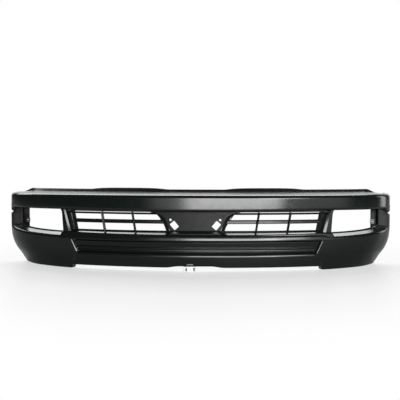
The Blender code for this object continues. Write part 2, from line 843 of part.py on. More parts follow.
def add_arches(mesh):
    """Cutters for the wheel arches."""
    centre_y = DEPTH / 2 + ARCH_BEHIND
    rings = []
    for x in (-TRIM_OUTER_X, TRIM_OUTER_X):
        ring = []
        for k in range(ARCH_SIDES):
            turn = 2.0 * math.pi * k / ARCH_SIDES
            y = centre_y + ARCH_RADIUS * math.cos(turn)
            ring.append(Vector((x, y, ARCH_Z + ARCH_RADIUS * math.sin(turn))))
        rings.append(ring)
    add_loft(mesh, rings)


def make_cover(material):
    """The main skin with its openings."""
    mesh = bmesh.new()
    add_cover_skin(mesh)
    cover = to_object("bumper_cover", mesh, material)
    for add, operation in (
        (add_cover_openings, "DIFFERENCE"),
        (add_pillars, "UNION"),
        (add_pillar_hollows, "DIFFERENCE"),
        (add_rear_trim, "DIFFERENCE"),
        (add_arches, "DIFFERENCE"),
    ):
        other = bmesh.new()
        add(other)
        combine(cover, operation, to_object(add.__name__, other))


def strip_top_z(station):
    """Top edge of the strip: level, with two humps and tapered ends."""
    x = abs(plan(station)[0])
    wave = max(1.0 - ((x - STRIP_HUMP_X) / STRIP_HUMP_HALF) ** 4, 0.0)
    taper = 1.0 - ramp(abs(station), strip_end() - STRIP_TAPER, strip_end())
    low = top_rear_z(station) + 0.002
    return lerp(low, STRIP_TOP_Z + STRIP_HUMP * wave, taper)


def make_strip(material):
    """The upper retainer strip behind the rear flange. Above the flange it leans back."""
    mesh = bmesh.new()
    end = strip_end() + STATION_ROUNDING
    rings = []
    for station in [s for s in cover_stations() if abs(s) <= end]:
        front = top_depth(station) + FIT
        foot = top_rear_z(station) - STRIP_FOOT
        knee = top_rear_z(station) + STRIP_KNEE
        top = strip_top_z(station)
        face = [(front, foot), (front, knee), (front + STRIP_LEAN * (top - knee), top)]
        rear = [(inset + STRIP_WALL, z) for inset, z in reversed(face)]
        rings.append([place(station, inset, z) for inset, z in face + rear])
    add_loft(mesh, rings, caps="strip")
    strip = to_object("upper_retainer_strip", mesh, material)
    holes = bmesh.new()
    for name, station, z in retainer_places():
        hole = [(GROMMET_R + FIT, -WALL), (GROMMET_R + FIT, FLANGE_THROUGH)]
        add_turned(holes, hole, frame_at(station, top_depth(station), z))
    combine(strip, "DIFFERENCE", to_object("strip_holes", holes))


def make_retainers(grommet_material, pin_material):
    """Push-type retainers: a grommet through the flange and strip, and a pin that slides in it."""
    head = STRIP_WALL + 2 * FIT
    bore = PIN_R + FIT
    leg = -WALL - FIT
    for name, station, z in retainer_places():
        frame = frame_at(station, top_depth(station), z)
        grommet = bmesh.new()
        add_turned(grommet, [
            (bore, leg - GROMMET_LEG),
            (GROMMET_R, leg - GROMMET_LEG),
            (GROMMET_R + GROMMET_BULGE, leg - GROMMET_LEG / 2),
            (GROMMET_R, leg),
            (GROMMET_R, head),
            (GROMMET_HEAD_R, head),
            (GROMMET_HEAD_R, head + GROMMET_HEAD),
            (bore, head + GROMMET_HEAD),
        ], frame, hollow=True)
        to_object(f"{name}_retainer_grommet", grommet, grommet_material)
        pin = bmesh.new()
        pin_seat = head + GROMMET_HEAD + FIT
        add_turned(pin, [
            (PIN_R, leg - GROMMET_LEG),
            (PIN_R, pin_seat),
            (PIN_HEAD_R, pin_seat),
            (PIN_HEAD_R, pin_seat + PIN_HEAD / 2),
            (PIN_HEAD_R - 0.001, pin_seat + PIN_HEAD),
        ], Matrix.Identity(4))
        thing = to_object(f"{name}_retainer_pin", pin, pin_material)
        thing.matrix_world = frame


def add_rib(mesh, x, side, front, back):
    """Add one upright rib of a grille: a deep fin whose foot follows the slope of the ledge."""
    rise = LEDGE_RISE * front_share(at_x(x))
    foot = LEDGE_FRONT_Z + rise + (front - 0.0075) * 0.4 + 0.001
    line = leaning(abs(x), RIB_LEAN)
    heel = INSERT_BOTTOM_Z + 0.002
    outline = ((front, foot), (back, heel), (back, INSERT_TOP_Z), (front, INSERT_TOP_Z))
    rings = []
    for half in (-RIB_WIDTH / 2 + 0.001, RIB_WIDTH / 2 - 0.001):
        ring = []
        for inset, z in outline:
            ring.append(place(at_x(side * (line(z) + half), back), inset, z))
        rings.append(ring)
    add_loft(mesh, rings)


def make_grille(side, word, material, nut_material):
    """One grille insert with its cells, bar, ribs and pegs, and the push nuts behind it."""
    back = insert_back()
    front = back - INSERT_WALL
    mesh = bmesh.new()
    outer = mirrored(frame_outer_x(), side)
    add_panel(mesh, mirrored(frame_inner_x, side), outer, grille_heights(), front, back, 10)
    insert = to_object(f"{word}_grille_insert", mesh, material)
    cells = bmesh.new()
    for inner, outer, low, high in grille_cells():
        heights = steps(low, high, 3)
        inner, outer = mirrored(inner, side), mirrored(outer, side)
        add_panel(cells, inner, outer, heights, front - THROUGH, back + THROUGH, 3)
    combine(insert, "DIFFERENCE", to_object(f"{word}_grille_cells", cells))
    bars = bmesh.new()
    low = BAR_Z - BAR_HEIGHT / 2 + 0.001
    high = BAR_Z + BAR_HEIGHT / 2 - 0.001
    inner = mirrored(lambda z: grille_inner_x(z) - 0.004, side)
    outer = mirrored(lambda z: GRILLE_OUTER_X + 0.004, side)
    add_panel(bars, inner, outer, [low, high], front - BAR_FRONT, back - 0.002, 8)
    combine(insert, "UNION", to_object(f"{word}_grille_bar", bars))
    ribs = bmesh.new()
    for x in RIB_X:
        add_rib(ribs, side * x, side, front - RIB_FRONT, back - 0.003)
    combine(insert, "UNION", to_object(f"{word}_grille_ribs", ribs))
    add_pegs(insert, [(side * x, z) for x, z in grille_pegs()], back, nut_material)


def add_plate_holes(mesh):
    """Cutters for the tilted square holes and the small round holes of the plate panel."""
    back = insert_back()
    for side in (-1, 1):
        frame = frame_at(at_x(side * PLATE_HOLE_X, back), back, PLATE_HOLE_Z)
        frame = frame @ Matrix.Rotation(side * PLATE_HOLE_TILT, 4, "Z")
        rings = []
        for t in (-THROUGH, THROUGH):
            w = PLATE_HOLE_WIDTH / 2
            h = PLATE_HOLE_HEIGHT / 2
            rings.append([frame @ Vector((x, y, t)) for x, y in ((-w, -h), (w, -h), (w, h), (-w, h))])
        add_loft(mesh, rings)
        frame = frame_at(at_x(side * PLATE_DOT_X, back), back, PLATE_DOT_Z)
        add_turned(mesh, [(PLATE_DOT_R, -THROUGH), (PLATE_DOT_R, THROUGH)], frame)


def add_plate_foot(mesh):
    """The foot of the plate panel, which comes forward over the ledge, just clear of it."""
    back = insert_back()
    half = frame_inner_x(INSERT_BOTTOM_Z) - PLATE_GAP
    section = [
        (back - 0.0007, INSERT_BOTTOM_Z + 0.0005),
        (back - 0.0007, INSERT_BOTTOM_Z + 0.0040),
        (back - PLATE_WALL - 0.0007, INSERT_BOTTOM_Z + 0.0022),
        (0.0290, INSERT_BOTTOM_Z - 0.0010),
        (0.0130, LEDGE_FRONT_Z + 0.0060),
        (PLATE_FOOT_FRONT, LEDGE_FRONT_Z + 0.0042),
        (PLATE_FOOT_FRONT, LEDGE_FRONT_Z + 0.0009),
        (0.0310, INSERT_BOTTOM_Z - 0.0051),
    ]
    rings = []
    for x in steps(-half, half, 8):
        rings.append([place(at_x(x, back), inset, z) for inset, z in section])
    add_loft(mesh, rings)


def make_plate(material, nut_material):
    """The plate panel between the grilles, and its push nuts."""
    back = insert_back()
    mesh = bmesh.new()
    inner = mirrored(lambda z: frame_inner_x(z) - PLATE_GAP, -1)
    outer = mirrored(lambda z: frame_inner_x(z) - PLATE_GAP, 1)
    add_panel(mesh, inner, outer, grille_heights(), back - PLATE_WALL, back, 8)
    plate = to_object("plate_panel", mesh, material)
    foot = bmesh.new()
    add_plate_foot(foot)
    combine(plate, "UNION", to_object("plate_foot", foot))
    holes = bmesh.new()
    add_plate_holes(holes)
    combine(plate, "DIFFERENCE", to_object("plate_holes", holes))
    add_pegs(plate, plate_pegs(), back, nut_material)


def rib_section():
    """Section of the ribbed panel as (inset, z): a flat, two ribs and the grooves under them."""
    face = RIB_RECESS_DEPTH - 0.006
    groove = RIB_RECESS_DEPTH - 0.0040
    top = SHOULDER_BOTTOM_Z - 0.0045
    foot = LIP_TOP_Z + 0.0035
    return [
        (face + 0.0010, top),
        (face - 0.0020, top - 0.0020),
        (face + 0.0020, UPPER_RIB_Z[0] + 0.0025),
        (face - 0.0045, UPPER_RIB_Z[0]),
        (face - 0.0040, UPPER_RIB_Z[1]),
        (groove, UPPER_RIB_Z[1] - 0.0020),
        (groove, LOWER_RIB_Z[0] + 0.0020),
        (face - 0.0025, LOWER_RIB_Z[0]),
        (face - 0.0015, LOWER_RIB_Z[1]),
        (groove + 0.0010, LOWER_RIB_Z[1] - 0.0015),
        (groove + 0.0010, foot),
        (rib_back(), foot),
        (rib_back(), top),
    ]


def make_rib_panel(material, nut_material):
    """The ribbed panel in the recess of the lower body, and its push nuts."""
    back = rib_back()
    end = at_x(RIB_RECESS_X - PANEL_END_GAP)
    mesh = bmesh.new()
    rings = []
    for station in steps(-end, end, 20):
        rings.append([place(station, inset, z) for inset, z in rib_section()])
    add_loft(mesh, rings)
    panel = to_object("lower_rib_panel", mesh, material)
    add_pegs(panel, rib_pegs(), back, nut_material)


def bracket_y():
    """World Y of the front of the lamp bracket's wall."""
    return plan(bracket_station())[1] - DEPTH / 2


def bracket_station():
    """Station of the skin beside the lamp bracket's wall."""
    return at_angle(BRACKET_ANGLE)


def bracket_edge_x(z):
    """X of the outer edge of the bracket's wall, just clear of the skin."""
    station = bracket_station()
    x, depth, angle = plan(station)
    return x - (tuck(z) + WALL + 2 * BOND_GAP) / math.sin(angle)


def bracket_inner_x():
    """X of the inner edge of the bracket's wall."""
    return bracket_edge_x(TUCK_TOP_Z) - BRACKET_WIDTH


def make_lamp_bracket(side, word, material, nut_material):
    """The wall behind the outer end of a lamp opening with its bonding flange, and its speed nut."""
    y = bracket_y()
    notch_z = GROOVE_Z - BRACKET_UNDER_GROOVE
    edge = [(bracket_edge_x(z), z) for z in (BRACKET_BOTTOM_Z, 0.165, 0.180, notch_z)]
    notch_x = bracket_edge_x(notch_z) - BRACKET_NOTCH
    inner = bracket_inner_x()
    outline = [(inner, BRACKET_BOTTOM_Z)] + edge + [(notch_x, notch_z + 0.001), (notch_x, BRACKET_TOP_Z)]
    outline.append((inner, BRACKET_TOP_Z))
    mesh = bmesh.new()
    rings = [[Vector((side * x, depth, z)) for x, z in outline] for depth in (y, y + BRACKET_WALL)]
    add_loft(mesh, rings)
    bracket = to_object(f"{word}_lamp_bracket", mesh, material)
    flange = bmesh.new()
    rings = []
    start = bracket_station() + 0.0005
    for station in steps(start, start + BRACKET_FLANGE, 3):
        near = WALL + BOND_GAP
        far = near + BRACKET_WALL
        loop = [(near, BRACKET_FLANGE_BOTTOM_Z), (far, BRACKET_FLANGE_BOTTOM_Z)]
        loop += [(far, notch_z), (near, notch_z)]
        rings.append([place(side * station, inset, z) for inset, z in loop])
    add_loft(flange, rings)
    combine(bracket, "UNION", to_object(f"{word}_bracket_flange", flange))
    hole = bmesh.new()
    back = Matrix.Rotation(-math.pi / 2, 4, "X")
    frame = Matrix.Translation((side * (inner + SCREW_IN), y, SCREW_Z)) @ back
    add_turned(hole, [(SCREW_CLEAR_R, -THROUGH), (SCREW_CLEAR_R, THROUGH)], frame)
    combine(bracket, "DIFFERENCE", to_object(f"{word}_bracket_hole", hole))
    make_speed_nut(side, word, nut_material)


def make_speed_nut(side, word, material):
    """A folded sheet nut that grips the inner edge of the bracket's wall."""
    y = bracket_y()
    low = SCREW_Z - SPEED_NUT_HEIGHT / 2
    high = SCREW_Z + SPEED_NUT_HEIGHT / 2
    inner = bracket_inner_x() - FIT
    tip = inner + SPEED_NUT_LENGTH
    outline = [
        (inner - SPEED_NUT_WALL, y - FIT - SPEED_NUT_WALL),
        (tip, y - FIT - SPEED_NUT_WALL),
        (tip, y - FIT),
        (inner, y - FIT),
        (inner, y + BRACKET_WALL + FIT),
        (tip, y + BRACKET_WALL + FIT),
        (tip, y + BRACKET_WALL + FIT + SPEED_NUT_WALL),
        (inner - SPEED_NUT_WALL, y + BRACKET_WALL + FIT + SPEED_NUT_WALL),
    ]
    mesh = bmesh.new()
    add_loft(mesh, [[Vector((side * x, depth, z)) for x, depth in outline] for z in (low, high)])
    nut = to_object(f"{word}_lamp_speed_nut", mesh, material)
    hole = bmesh.new()
    screw_x = bracket_inner_x() + SCREW_IN
    frame = Matrix.Translation((side * screw_x, y, SCREW_Z)) @ Matrix.Rotation(-math.pi / 2, 4, "X")
    add_turned(hole, [(SCREW_HOLE_R, -THROUGH), (SCREW_HOLE_R, THROUGH)], frame)
    combine(nut, "DIFFERENCE", to_object(f"{word}_speed_nut_hole", hole))


def make_side_bracket(side, word, material, rivet_material):
    """An angle rail on the rear flange of a wing, and its rivets."""
    mesh = bmesh.new()
    rings = []
    for station in steps(rail_start(), rail_start() + RAIL_LENGTH, 6):
        front = top_depth(station) + FIT
        top = top_rear_z(station) - RAIL_DROP
        foot = top - RAIL_HEIGHT - RAIL_WALL
        loop = [
            (front, foot), (front + RAIL_LEG, foot), (front + RAIL_LEG, foot + RAIL_WALL),
            (front + RAIL_WALL, foot + RAIL_WALL), (front + RAIL_WALL, top), (front, top),
        ]
        rings.append([place(side * station, inset, z) for inset, z in loop])
    add_loft(mesh, rings)
    rail = to_object(f"{word}_side_bracket", mesh, material)
    holes = bmesh.new()
    front_head = -WALL - FIT
    rear_head = RAIL_WALL + 2 * FIT
    for (station, z), end in zip(rivet_places(side), ("front", "rear")):
        frame = frame_at(station, top_depth(station), z)
        add_turned(holes, [(RIVET_R + FIT, -WALL), (RIVET_R + FIT, FLANGE_THROUGH)], frame)
        rivet = bmesh.new()
        add_turned(rivet, [
            (RIVET_HEAD_R - 0.001, front_head - RIVET_HEAD),
            (RIVET_HEAD_R, front_head - RIVET_HEAD / 2),
            (RIVET_HEAD_R, front_head),
            (RIVET_R, front_head),
            (RIVET_R, rear_head),
            (RIVET_HEAD_R, rear_head),
            (RIVET_HEAD_R, rear_head + RIVET_HEAD / 2),
            (RIVET_HEAD_R - 0.001, rear_head + RIVET_HEAD),
        ], frame)
        to_object(f"{word}_{end}_bracket_rivet", rivet, rivet_material)
    combine(rail, "DIFFERENCE", to_object(f"{word}_rail_holes", holes))


def make_clip(material):
    """The white clip: a block under the return flange of the lip that hooks over its rear edge."""
    lip_z = lip_bottom_z(at_x(CLIP_X))
    under = lip_z - 2 * FIT
    over = lip_z + LIP_RETURN_RISE + WALL + 2 * FIT
    rear = LIP_RETURN + 2 * FIT
    loop = [
        (CLIP_FRONT, 0.0),
        (rear + CLIP_WALL, 0.0),
        (rear + CLIP_WALL, over + CLIP_WALL),
        (rear - CLIP_HOOK, over + CLIP_WALL),
        (rear - CLIP_HOOK, over),
        (rear, over),
        (rear, under),
        (CLIP_FRONT, under),
    ]
    mesh = bmesh.new()
    rings = []
    for x in (CLIP_X - CLIP_WIDTH / 2, CLIP_X, CLIP_X + CLIP_WIDTH / 2):
        rings.append([place(at_x(x), inset, z) for inset, z in loop])
    add_loft(mesh, rings)
    clip = to_object("lower_lip_clip", mesh, material)
    slots = bmesh.new()
    front = CLIP_FRONT - DEPTH / 2
    for x in (CLIP_X - SLOT_X, CLIP_X + SLOT_X):
        low = (x - SLOT_WIDTH / 2, front - SLOT_DEPTH, SLOT_Z)
        high = (x + SLOT_WIDTH / 2, front + SLOT_DEPTH, SLOT_Z + SLOT_HEIGHT)
        add_box(slots, low, high)
    combine(clip, "DIFFERENCE", to_object("clip_slots", slots))


def main():
    """Build every piece."""
    clear_scene()
    black = (0.020, 0.021, 0.021)
    make_cover(make_material("cover_black", black, 0.38))
    make_strip(make_material("strip_black", (0.012, 0.012, 0.012), 0.55))
    grommet = make_material("grommet_black", (0.025, 0.025, 0.026), 0.50)
    make_retainers(grommet, make_material("pin_black", (0.030, 0.030, 0.031), 0.45))
    grille = make_material("grille_black", (0.016, 0.017, 0.017), 0.48)
    steel = make_material("zinc_steel", (0.55, 0.55, 0.53), 0.38, 1.0)
    dark_steel = make_material("dark_steel", (0.10, 0.10, 0.105), 0.45, 1.0)
    bracket = make_material("bracket_black", (0.014, 0.014, 0.014), 0.60)
    for side, word in ((-1, "left"), (1, "right")):
        make_grille(side, word, grille, steel)
        make_lamp_bracket(side, word, bracket, dark_steel)
        make_side_bracket(side, word, bracket, steel)
    make_plate(make_material("plate_satin", (0.022, 0.023, 0.023), 0.55), steel)
    make_rib_panel(make_material("rib_black", (0.018, 0.019, 0.019), 0.42), steel)
    make_clip(make_material("nylon_white", (0.80, 0.80, 0.78), 0.45))


main()
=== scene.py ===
"""Looks of the front bumper cover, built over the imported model.

Metres, +Z up, X across the car, the front faces -Y. A place on the bumper is (station, inset, height): the
station is the arc length along the plan curve from the middle, the inset is the distance behind that curve.
"""
import math

import bmesh
import bpy
import numpy as np
from mathutils import Matrix


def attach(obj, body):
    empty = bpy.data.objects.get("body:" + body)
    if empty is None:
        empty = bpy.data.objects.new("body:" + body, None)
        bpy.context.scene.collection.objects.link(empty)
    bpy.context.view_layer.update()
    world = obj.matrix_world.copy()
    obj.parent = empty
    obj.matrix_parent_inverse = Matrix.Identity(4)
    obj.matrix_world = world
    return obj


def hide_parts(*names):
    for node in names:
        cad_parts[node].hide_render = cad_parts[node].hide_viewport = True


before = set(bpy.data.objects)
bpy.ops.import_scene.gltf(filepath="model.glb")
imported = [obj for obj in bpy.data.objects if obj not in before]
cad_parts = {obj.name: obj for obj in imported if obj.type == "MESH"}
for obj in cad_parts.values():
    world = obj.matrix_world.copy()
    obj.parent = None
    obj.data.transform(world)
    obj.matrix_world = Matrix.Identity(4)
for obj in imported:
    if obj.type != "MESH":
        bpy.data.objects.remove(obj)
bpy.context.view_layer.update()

# Plan curve of the bumper
FRONT_RADIUS = 1.65
FRONT_HALF_WIDTH = 0.731
CORNER_RADIUS = 0.290
WING_ANGLE = math.radians(84.0)
DEPTH = 0.512
WING_TRIM = 0.013
FRONT_ANGLE = math.asin(FRONT_HALF_WIDTH / FRONT_RADIUS)
FRONT_LENGTH = FRONT_RADIUS * FRONT_ANGLE
CORNER_LENGTH = CORNER_RADIUS * (WING_ANGLE - FRONT_ANGLE)
FRONT_SAG = FRONT_RADIUS * (1.0 - math.cos(FRONT_ANGLE))
CORNER_SAG = CORNER_RADIUS * (math.cos(FRONT_ANGLE) - math.cos(WING_ANGLE))
WING_LENGTH = (DEPTH + WING_TRIM - FRONT_SAG - CORNER_SAG) / math.sin(WING_ANGLE)
HALF_LENGTH = FRONT_LENGTH + CORNER_LENGTH + WING_LENGTH

# Skin, and the gap between pieces that touch
WALL = 0.003
FIT = 0.0003

# Heights of the cover's lines
TOP_REAR_Z = 0.3355
TOP_FRONT_Z = 0.3220
WING_TOP_Z = 0.3225
BAND_BOTTOM_Z = 0.2525
BAND_RISE = 0.005
GROOVE_Z = 0.2365
RECESS_FLOOR_Z = 0.1695
LEDGE_FRONT_Z = 0.1543
LEDGE_RISE = 0.006
LAMP_FLOOR_Z = 0.1580
LAMP_LEDGE_FRONT_Z = 0.1430
LAMP_RISE = 0.026
SHOULDER_TOP_Z = 0.1485
SHOULDER_BOTTOM_Z = 0.1290
LIP_TOP_Z = 0.0735
LIP_BOTTOM_Z = 0.0160

# Insets of the cover's faces, and the rounding of its edges
TOP_DEPTH = 0.088
WING_TOP_DEPTH = 0.026
REAR_FLANGE = 0.020
RECESS_DEPTH = 0.038
GROOVE_DEPTH = 0.010
RIB_RECESS_DEPTH = 0.016
CENTRE_LEDGE_FRONT = 0.0075
LAMP_LEDGE_FRONT = 0.0045
LIP_RETURN = 0.046
SKIRT_RETURN = 0.033
COVER_ROUND = 0.0045

# How the lower body curves under
TUCK = 0.045
TUCK_TOP_Z = 0.185
TUCK_POWER = 2.8
TUCK_KNEE_Z = 0.042
FOOT_SLOPE = 0.58
SKIRT_TUCK_SHARE = 0.26

# Rows of the cover's sections: insets, each with a drop, a rise or a height
BAND_CROWN = ((0.0120, 0.0), (0.0060, 0.0035), (0.0018, 0.0085), (0.0, 0.0135))
BAND_FOOT = ((0.0, 0.0080), (0.0012, 0.0040), (0.0035, 0.0013), (0.0080, 0.0))
GROOVE_HEIGHTS = (GROOVE_Z - 0.0055, GROOVE_Z - 0.0075, GROOVE_Z - 0.0110)
LAMP_FACE = ((0.0015, 0.0050), (0.0005, 0.0080), (0.0, 0.0105))
LEDGE_ROUND = 0.0023
WALL_FOOT = 0.004
SHOULDER_ROWS = [
    (0.0068, SHOULDER_TOP_Z + 0.0015),
    (0.0046, SHOULDER_TOP_Z),
    (0.0024, SHOULDER_TOP_Z - 0.0060),
    (0.0010, SHOULDER_TOP_Z - 0.0120),
    (0.0003, SHOULDER_BOTTOM_Z + 0.0020),
    (0.0022, SHOULDER_BOTTOM_Z - 0.0022),
    (RIB_RECESS_DEPTH - 0.0010, SHOULDER_BOTTOM_Z - 0.0028),
    (RIB_RECESS_DEPTH, SHOULDER_BOTTOM_Z - 0.0040),
    (RIB_RECESS_DEPTH, 0.1090),
    (RIB_RECESS_DEPTH, 0.0930),
    (RIB_RECESS_DEPTH, LIP_TOP_Z + 0.0030),
    (RIB_RECESS_DEPTH - 0.0010, LIP_TOP_Z + 0.0018),
    (0.0040, LIP_TOP_Z),
    (0.0016, LIP_TOP_Z - 0.0055),
    (0.0005, LIP_TOP_Z - 0.0105),
]
SKIRT_TOP_HEIGHTS = [0.1312, 0.1300]
UPPER_ROWS = 19
SHOULDER_BEAD_ROWS = 5
LIP_ROWS = 3

# Places along the cover, and its cuts
RIB_END_TOP_X = 0.531
RIB_END_FOOT_X = 0.507
RIB_END_LENGTH = 0.014
LEAN_START_X = (0.430, 0.500)
LEAN_END_X = (0.560, 0.610)
LEAN_FOOT_Z = 0.020
LIP_NOTCH = 0.006
LIP_NOTCH_X = 0.070
LIP_NOTCH_END_X = 0.125
SKIRT_X = 0.541
STEP_LENGTH = 0.012
LAMP_INNER_X = 0.5746
LAMP_CHAMFER = 0.012
LAMP_CORNER = 0.012
LAMP_SILL = 0.002
LAMP_OUTER_ANGLE = math.radians(61.5)
LAMP_CUT_ANGLE = math.radians(59.0)
POCKET_END_ANGLE = math.radians(58.0)
FLUSH_ANGLE = math.radians(65.0)
TOP_TAPER_ANGLE = math.radians(48.0)
TOP_NARROW_ANGLE = math.radians(70.0)
CUT_FRONT = 0.010
CUT_BACK = 0.012
ARCH_RADIUS = 0.360
ARCH_BEHIND = 0.200
ARCH_Z = 0.020
CUT_HALF_WIDTH = 1.1
TRIM_FROM_X = 0.6

# Posts between the grilles and the lamp openings
PILLAR_FRONT = 0.014
PILLAR_GAP = 0.001
PILLAR_LEAN = 0.0065
PILLAR_CORNER = 0.0080
PILLAR_CORNER_POWER = 12
PILLAR_SLOPE = 0.005
PILLAR_SLOPE_SHARE = 0.30
PILLAR_SINK = 0.001

# Grille inserts
INSERT_WALL = 0.0070
INSERT_BOTTOM_Z = 0.1650
INSERT_TOP_Z = 0.2500
ROW_BOTTOM_Z = 0.1705
ROW_TOP_Z = 0.2382
BAR_Z = 0.2085
BAR_HEIGHT = 0.0168
BAR_FRONT = 0.006
BAR_LAP = 0.004
BAR_STEPS = 44
RIB_X = (0.259, 0.393)
RIB_WIDTH = 0.0096
RIB_TAIL = 0.0015
RIB_NOSE = 0.005
RIB_LEAN = 0.011
RIB_FRONT = 0.016
RIB_FOOT_SLOPE = 0.4
GRILLE_OUTER_X = 0.5215
GRILLE_OUTER_LEAN = 0.013
FRAME_OUTER = 0.0295
FRAME_OUTER_LEAN = 0.0192
FRAME_FOOT = 0.003
GRILLE_INNER_X = 0.1215
GRILLE_INNER_SLOPE = 0.032
GRILLE_INNER_CURVE = 0.050
GRILLE_INNER_POWER = 8
GRILLE_BEND_Z = 0.225
FRAME_INNER = 0.015
WINDOW_MARGIN = 0.003
RAIL_TOP_Z = 0.2466
SLIT_TOP_Z = 0.2486
INSERT_BACK = RECESS_DEPTH - FIT
INSERT_FRONT = INSERT_BACK - INSERT_WALL

# Plate panel
PLATE_WALL = 0.0035
PLATE_GAP = 0.0010
PLATE_FOOT_FRONT = 0.0105
PLATE_HOLE_X = 0.0889
PLATE_HOLE_Z = 0.1930
PLATE_HOLE_WIDTH = 0.025
PLATE_HOLE_HEIGHT = 0.0325
PLATE_HOLE_TILT = math.radians(40.0)
PLATE_HOLE_CORNER = 0.003
PLATE_DOT_X = 0.105
PLATE_DOT_Z = 0.2165
PLATE_DOT_R = 0.0050
PLATE_WINDOW = 0.0225
PLATE_STEPS = 41

# Ribbed strip
RIB_FACE = RIB_RECESS_DEPTH - 0.006
RIB_GROOVE = RIB_RECESS_DEPTH - 0.0040
RIB_BACK = RIB_RECESS_DEPTH - FIT
RIB_STRIP_TOP_Z = SHOULDER_BOTTOM_Z - 0.0045
RIB_STRIP_FOOT_Z = LIP_TOP_Z + 0.0035
RIB_STRIP_REACH = 0.0025
RIB_STRIP_STEPS = 90

# Upper strip and its retainers
STRIP_WALL = 0.003
STRIP_FOOT = 0.0205
STRIP_TOP_Z = 0.3440
STRIP_END_RISE = 0.002
STRIP_HUMP = 0.0060
STRIP_HUMP_X = 0.315
STRIP_HUMP_HALF = 0.180
STRIP_END_ANGLE = math.radians(59.0)
STRIP_TAPER = 0.020
STRIP_KNEE = 0.0005
STRIP_LEAN = 1.2
RETAINER_X = (0.120, 0.380, 0.620)
RETAINER_DROP = 0.0120
GROMMET_R = 0.0035
GROMMET_BULGE = 0.0008
GROMMET_HEAD_R = 0.0080
GROMMET_HEAD = 0.0018
GROMMET_LEG = 0.0050
PIN_R = 0.0020
PIN_HEAD_R = 0.0055
PIN_HEAD = 0.0016

# Pegs of the inserts and their push nuts
PEG_R = 0.0025
PEG_LENGTH = 0.010
NUT_R = 0.0065
NUT_WALL = 0.0014
GRILLE_PEGS = (
    (GRILLE_OUTER_X + 0.018, 0.233),
    (GRILLE_OUTER_X + 0.0085, 0.180),
    (GRILLE_INNER_X - 0.005, 0.1705),
)
PLATE_PEGS = ((0.045, 0.176), (0.045, 0.238))
RIB_PEG_X = (0.160, 0.460)
RIB_PEG_Z = 0.1120

# Lamp brackets and their screw points
BRACKET_WALL = 0.0030
BRACKET_ANGLE = math.radians(70.7)
BRACKET_WIDTH = 0.0818
BRACKET_BOTTOM_Z = 0.1500
BRACKET_TOP_Z = 0.2530
BRACKET_NOTCH = 0.018
BRACKET_NOTCH_Z = GROOVE_Z - 0.0135
BRACKET_BEVEL = 0.0006
BRACKET_PULL = 0.985
BRACKET_FLANGE = 0.022
BRACKET_FLANGE_BOTTOM_Z = 0.1910
COLUMN_IN = 0.042
COLUMN_HALF_WIDTH = 0.017
COLUMN_DEPTH = 0.012
COLUMN_SHORT = 0.006
GUSSET_HALF = 0.0012
GUSSET_REACH = (0.010, 0.003)
BOND_GAP = 0.0006
SCREW_IN = 0.0085
SCREW_Z = 0.1945
SCREW_HOLE_R = 0.0027
SPEED_NUT_LENGTH = 0.019
SPEED_NUT_HEIGHT = 0.020
SPEED_NUT_WALL = 0.0012

# Side rails and their rivets
RAIL_WALL = 0.003
RAIL_DROP = 0.004
RAIL_HEIGHT = 0.015
RAIL_LEG = 0.018
RAIL_LENGTH = 0.100
RAIL_END_GAP = 0.022
RIVET_R = 0.0020
RIVET_HEAD_R = 0.0042
RIVET_HEAD = 0.0014
RIVET_SPACING = 0.070

# White clip under the lip, and the pad over it
CLIP_X = -0.024
CLIP_WIDTH = 0.050
CLIP_WALL = 0.004
CLIP_FRONT = 0.0105
CLIP_HOOK = 0.018
SLOT_MIDDLE_X = CLIP_X + 0.0035
SLOT_X = 0.0165
SLOT_WIDTH = 0.006
SLOT_BOTTOM_Z = 0.003
SLOT_HEIGHT = 0.014
SLOT_DEPTH = 0.012
# Painted shade: a dark colour laid inside the clip's two slots, standing in for the shade there
SLOT_PAINTED_SHADE = (0.05, 0.05, 0.05, 1.0)
PAD_HALF_WIDTH = 0.0135

# Finishes: dark and light shade, roughness, grain, specular level, metal
FINISHES = {
    "cover_black": ((0.0026, 0.0042, 0.0037), (0.0038, 0.0060, 0.0053), 0.18, 0.004, 0.5, 0.0),
    "strip_black": ((0.003, 0.003, 0.003), (0.005, 0.005, 0.005), 0.30, 0.02, 0.08, 0.0),
    "grommet_black": ((0.010, 0.010, 0.010), (0.016, 0.016, 0.016), 0.45, 0.10, 0.5, 0.0),
    "pin_black": ((0.012, 0.012, 0.012), (0.020, 0.020, 0.020), 0.40, 0.08, 0.5, 0.0),
    "grille_black": ((0.0030, 0.0034, 0.0033), (0.005, 0.0055, 0.0054), 0.24, 0.04, 0.30, 0.0),
    "bracket_black": ((0.003, 0.003, 0.003), (0.005, 0.005, 0.005), 0.34, 0.08, 0.10, 0.0),
    "plate_satin": ((0.004, 0.0044, 0.0043), (0.007, 0.0075, 0.0074), 0.40, 0.10, 0.15, 0.0),
    "rib_black": ((0.0030, 0.0034, 0.0033), (0.0045, 0.0056, 0.0052), 0.22, 0.02, 0.42, 0.0),
    "nylon_white": ((0.66, 0.68, 0.67), (0.74, 0.76, 0.75), 0.42, 0.06, 0.5, 0.0),
    "zinc_steel": ((0.48, 0.48, 0.46), (0.62, 0.62, 0.58), 0.34, 0.05, 0.5, 1.0),
    "dark_steel": ((0.05, 0.05, 0.051), (0.08, 0.08, 0.082), 0.40, 0.08, 0.5, 1.0),
}

# Scale and detail of each noise in a finish, spread of its roughness, depth of its grain
CLOUD_NOISE = (7.0, 4.0)
GLOSS_NOISE = (45.0, 3.0)
GRAIN_NOISE = (900.0, 2.0)
GLOSS_FROM = (0.3, 0.7)
GLOSS_TO = (0.88, 1.16)
GRAIN_DEPTH = 0.0004

# Sockets of the mix node, and where the cover is matt
MIX_SOCKETS = {"FLOAT": (2, 3, 0), "RGBA": (6, 7, 2)}
POCKET_ROUGH = 0.70
POCKET_X = ((0.790, 0.820), (0.874, 0.866))
POCKET_Z = ((0.162, 0.172), (0.254, 0.250))

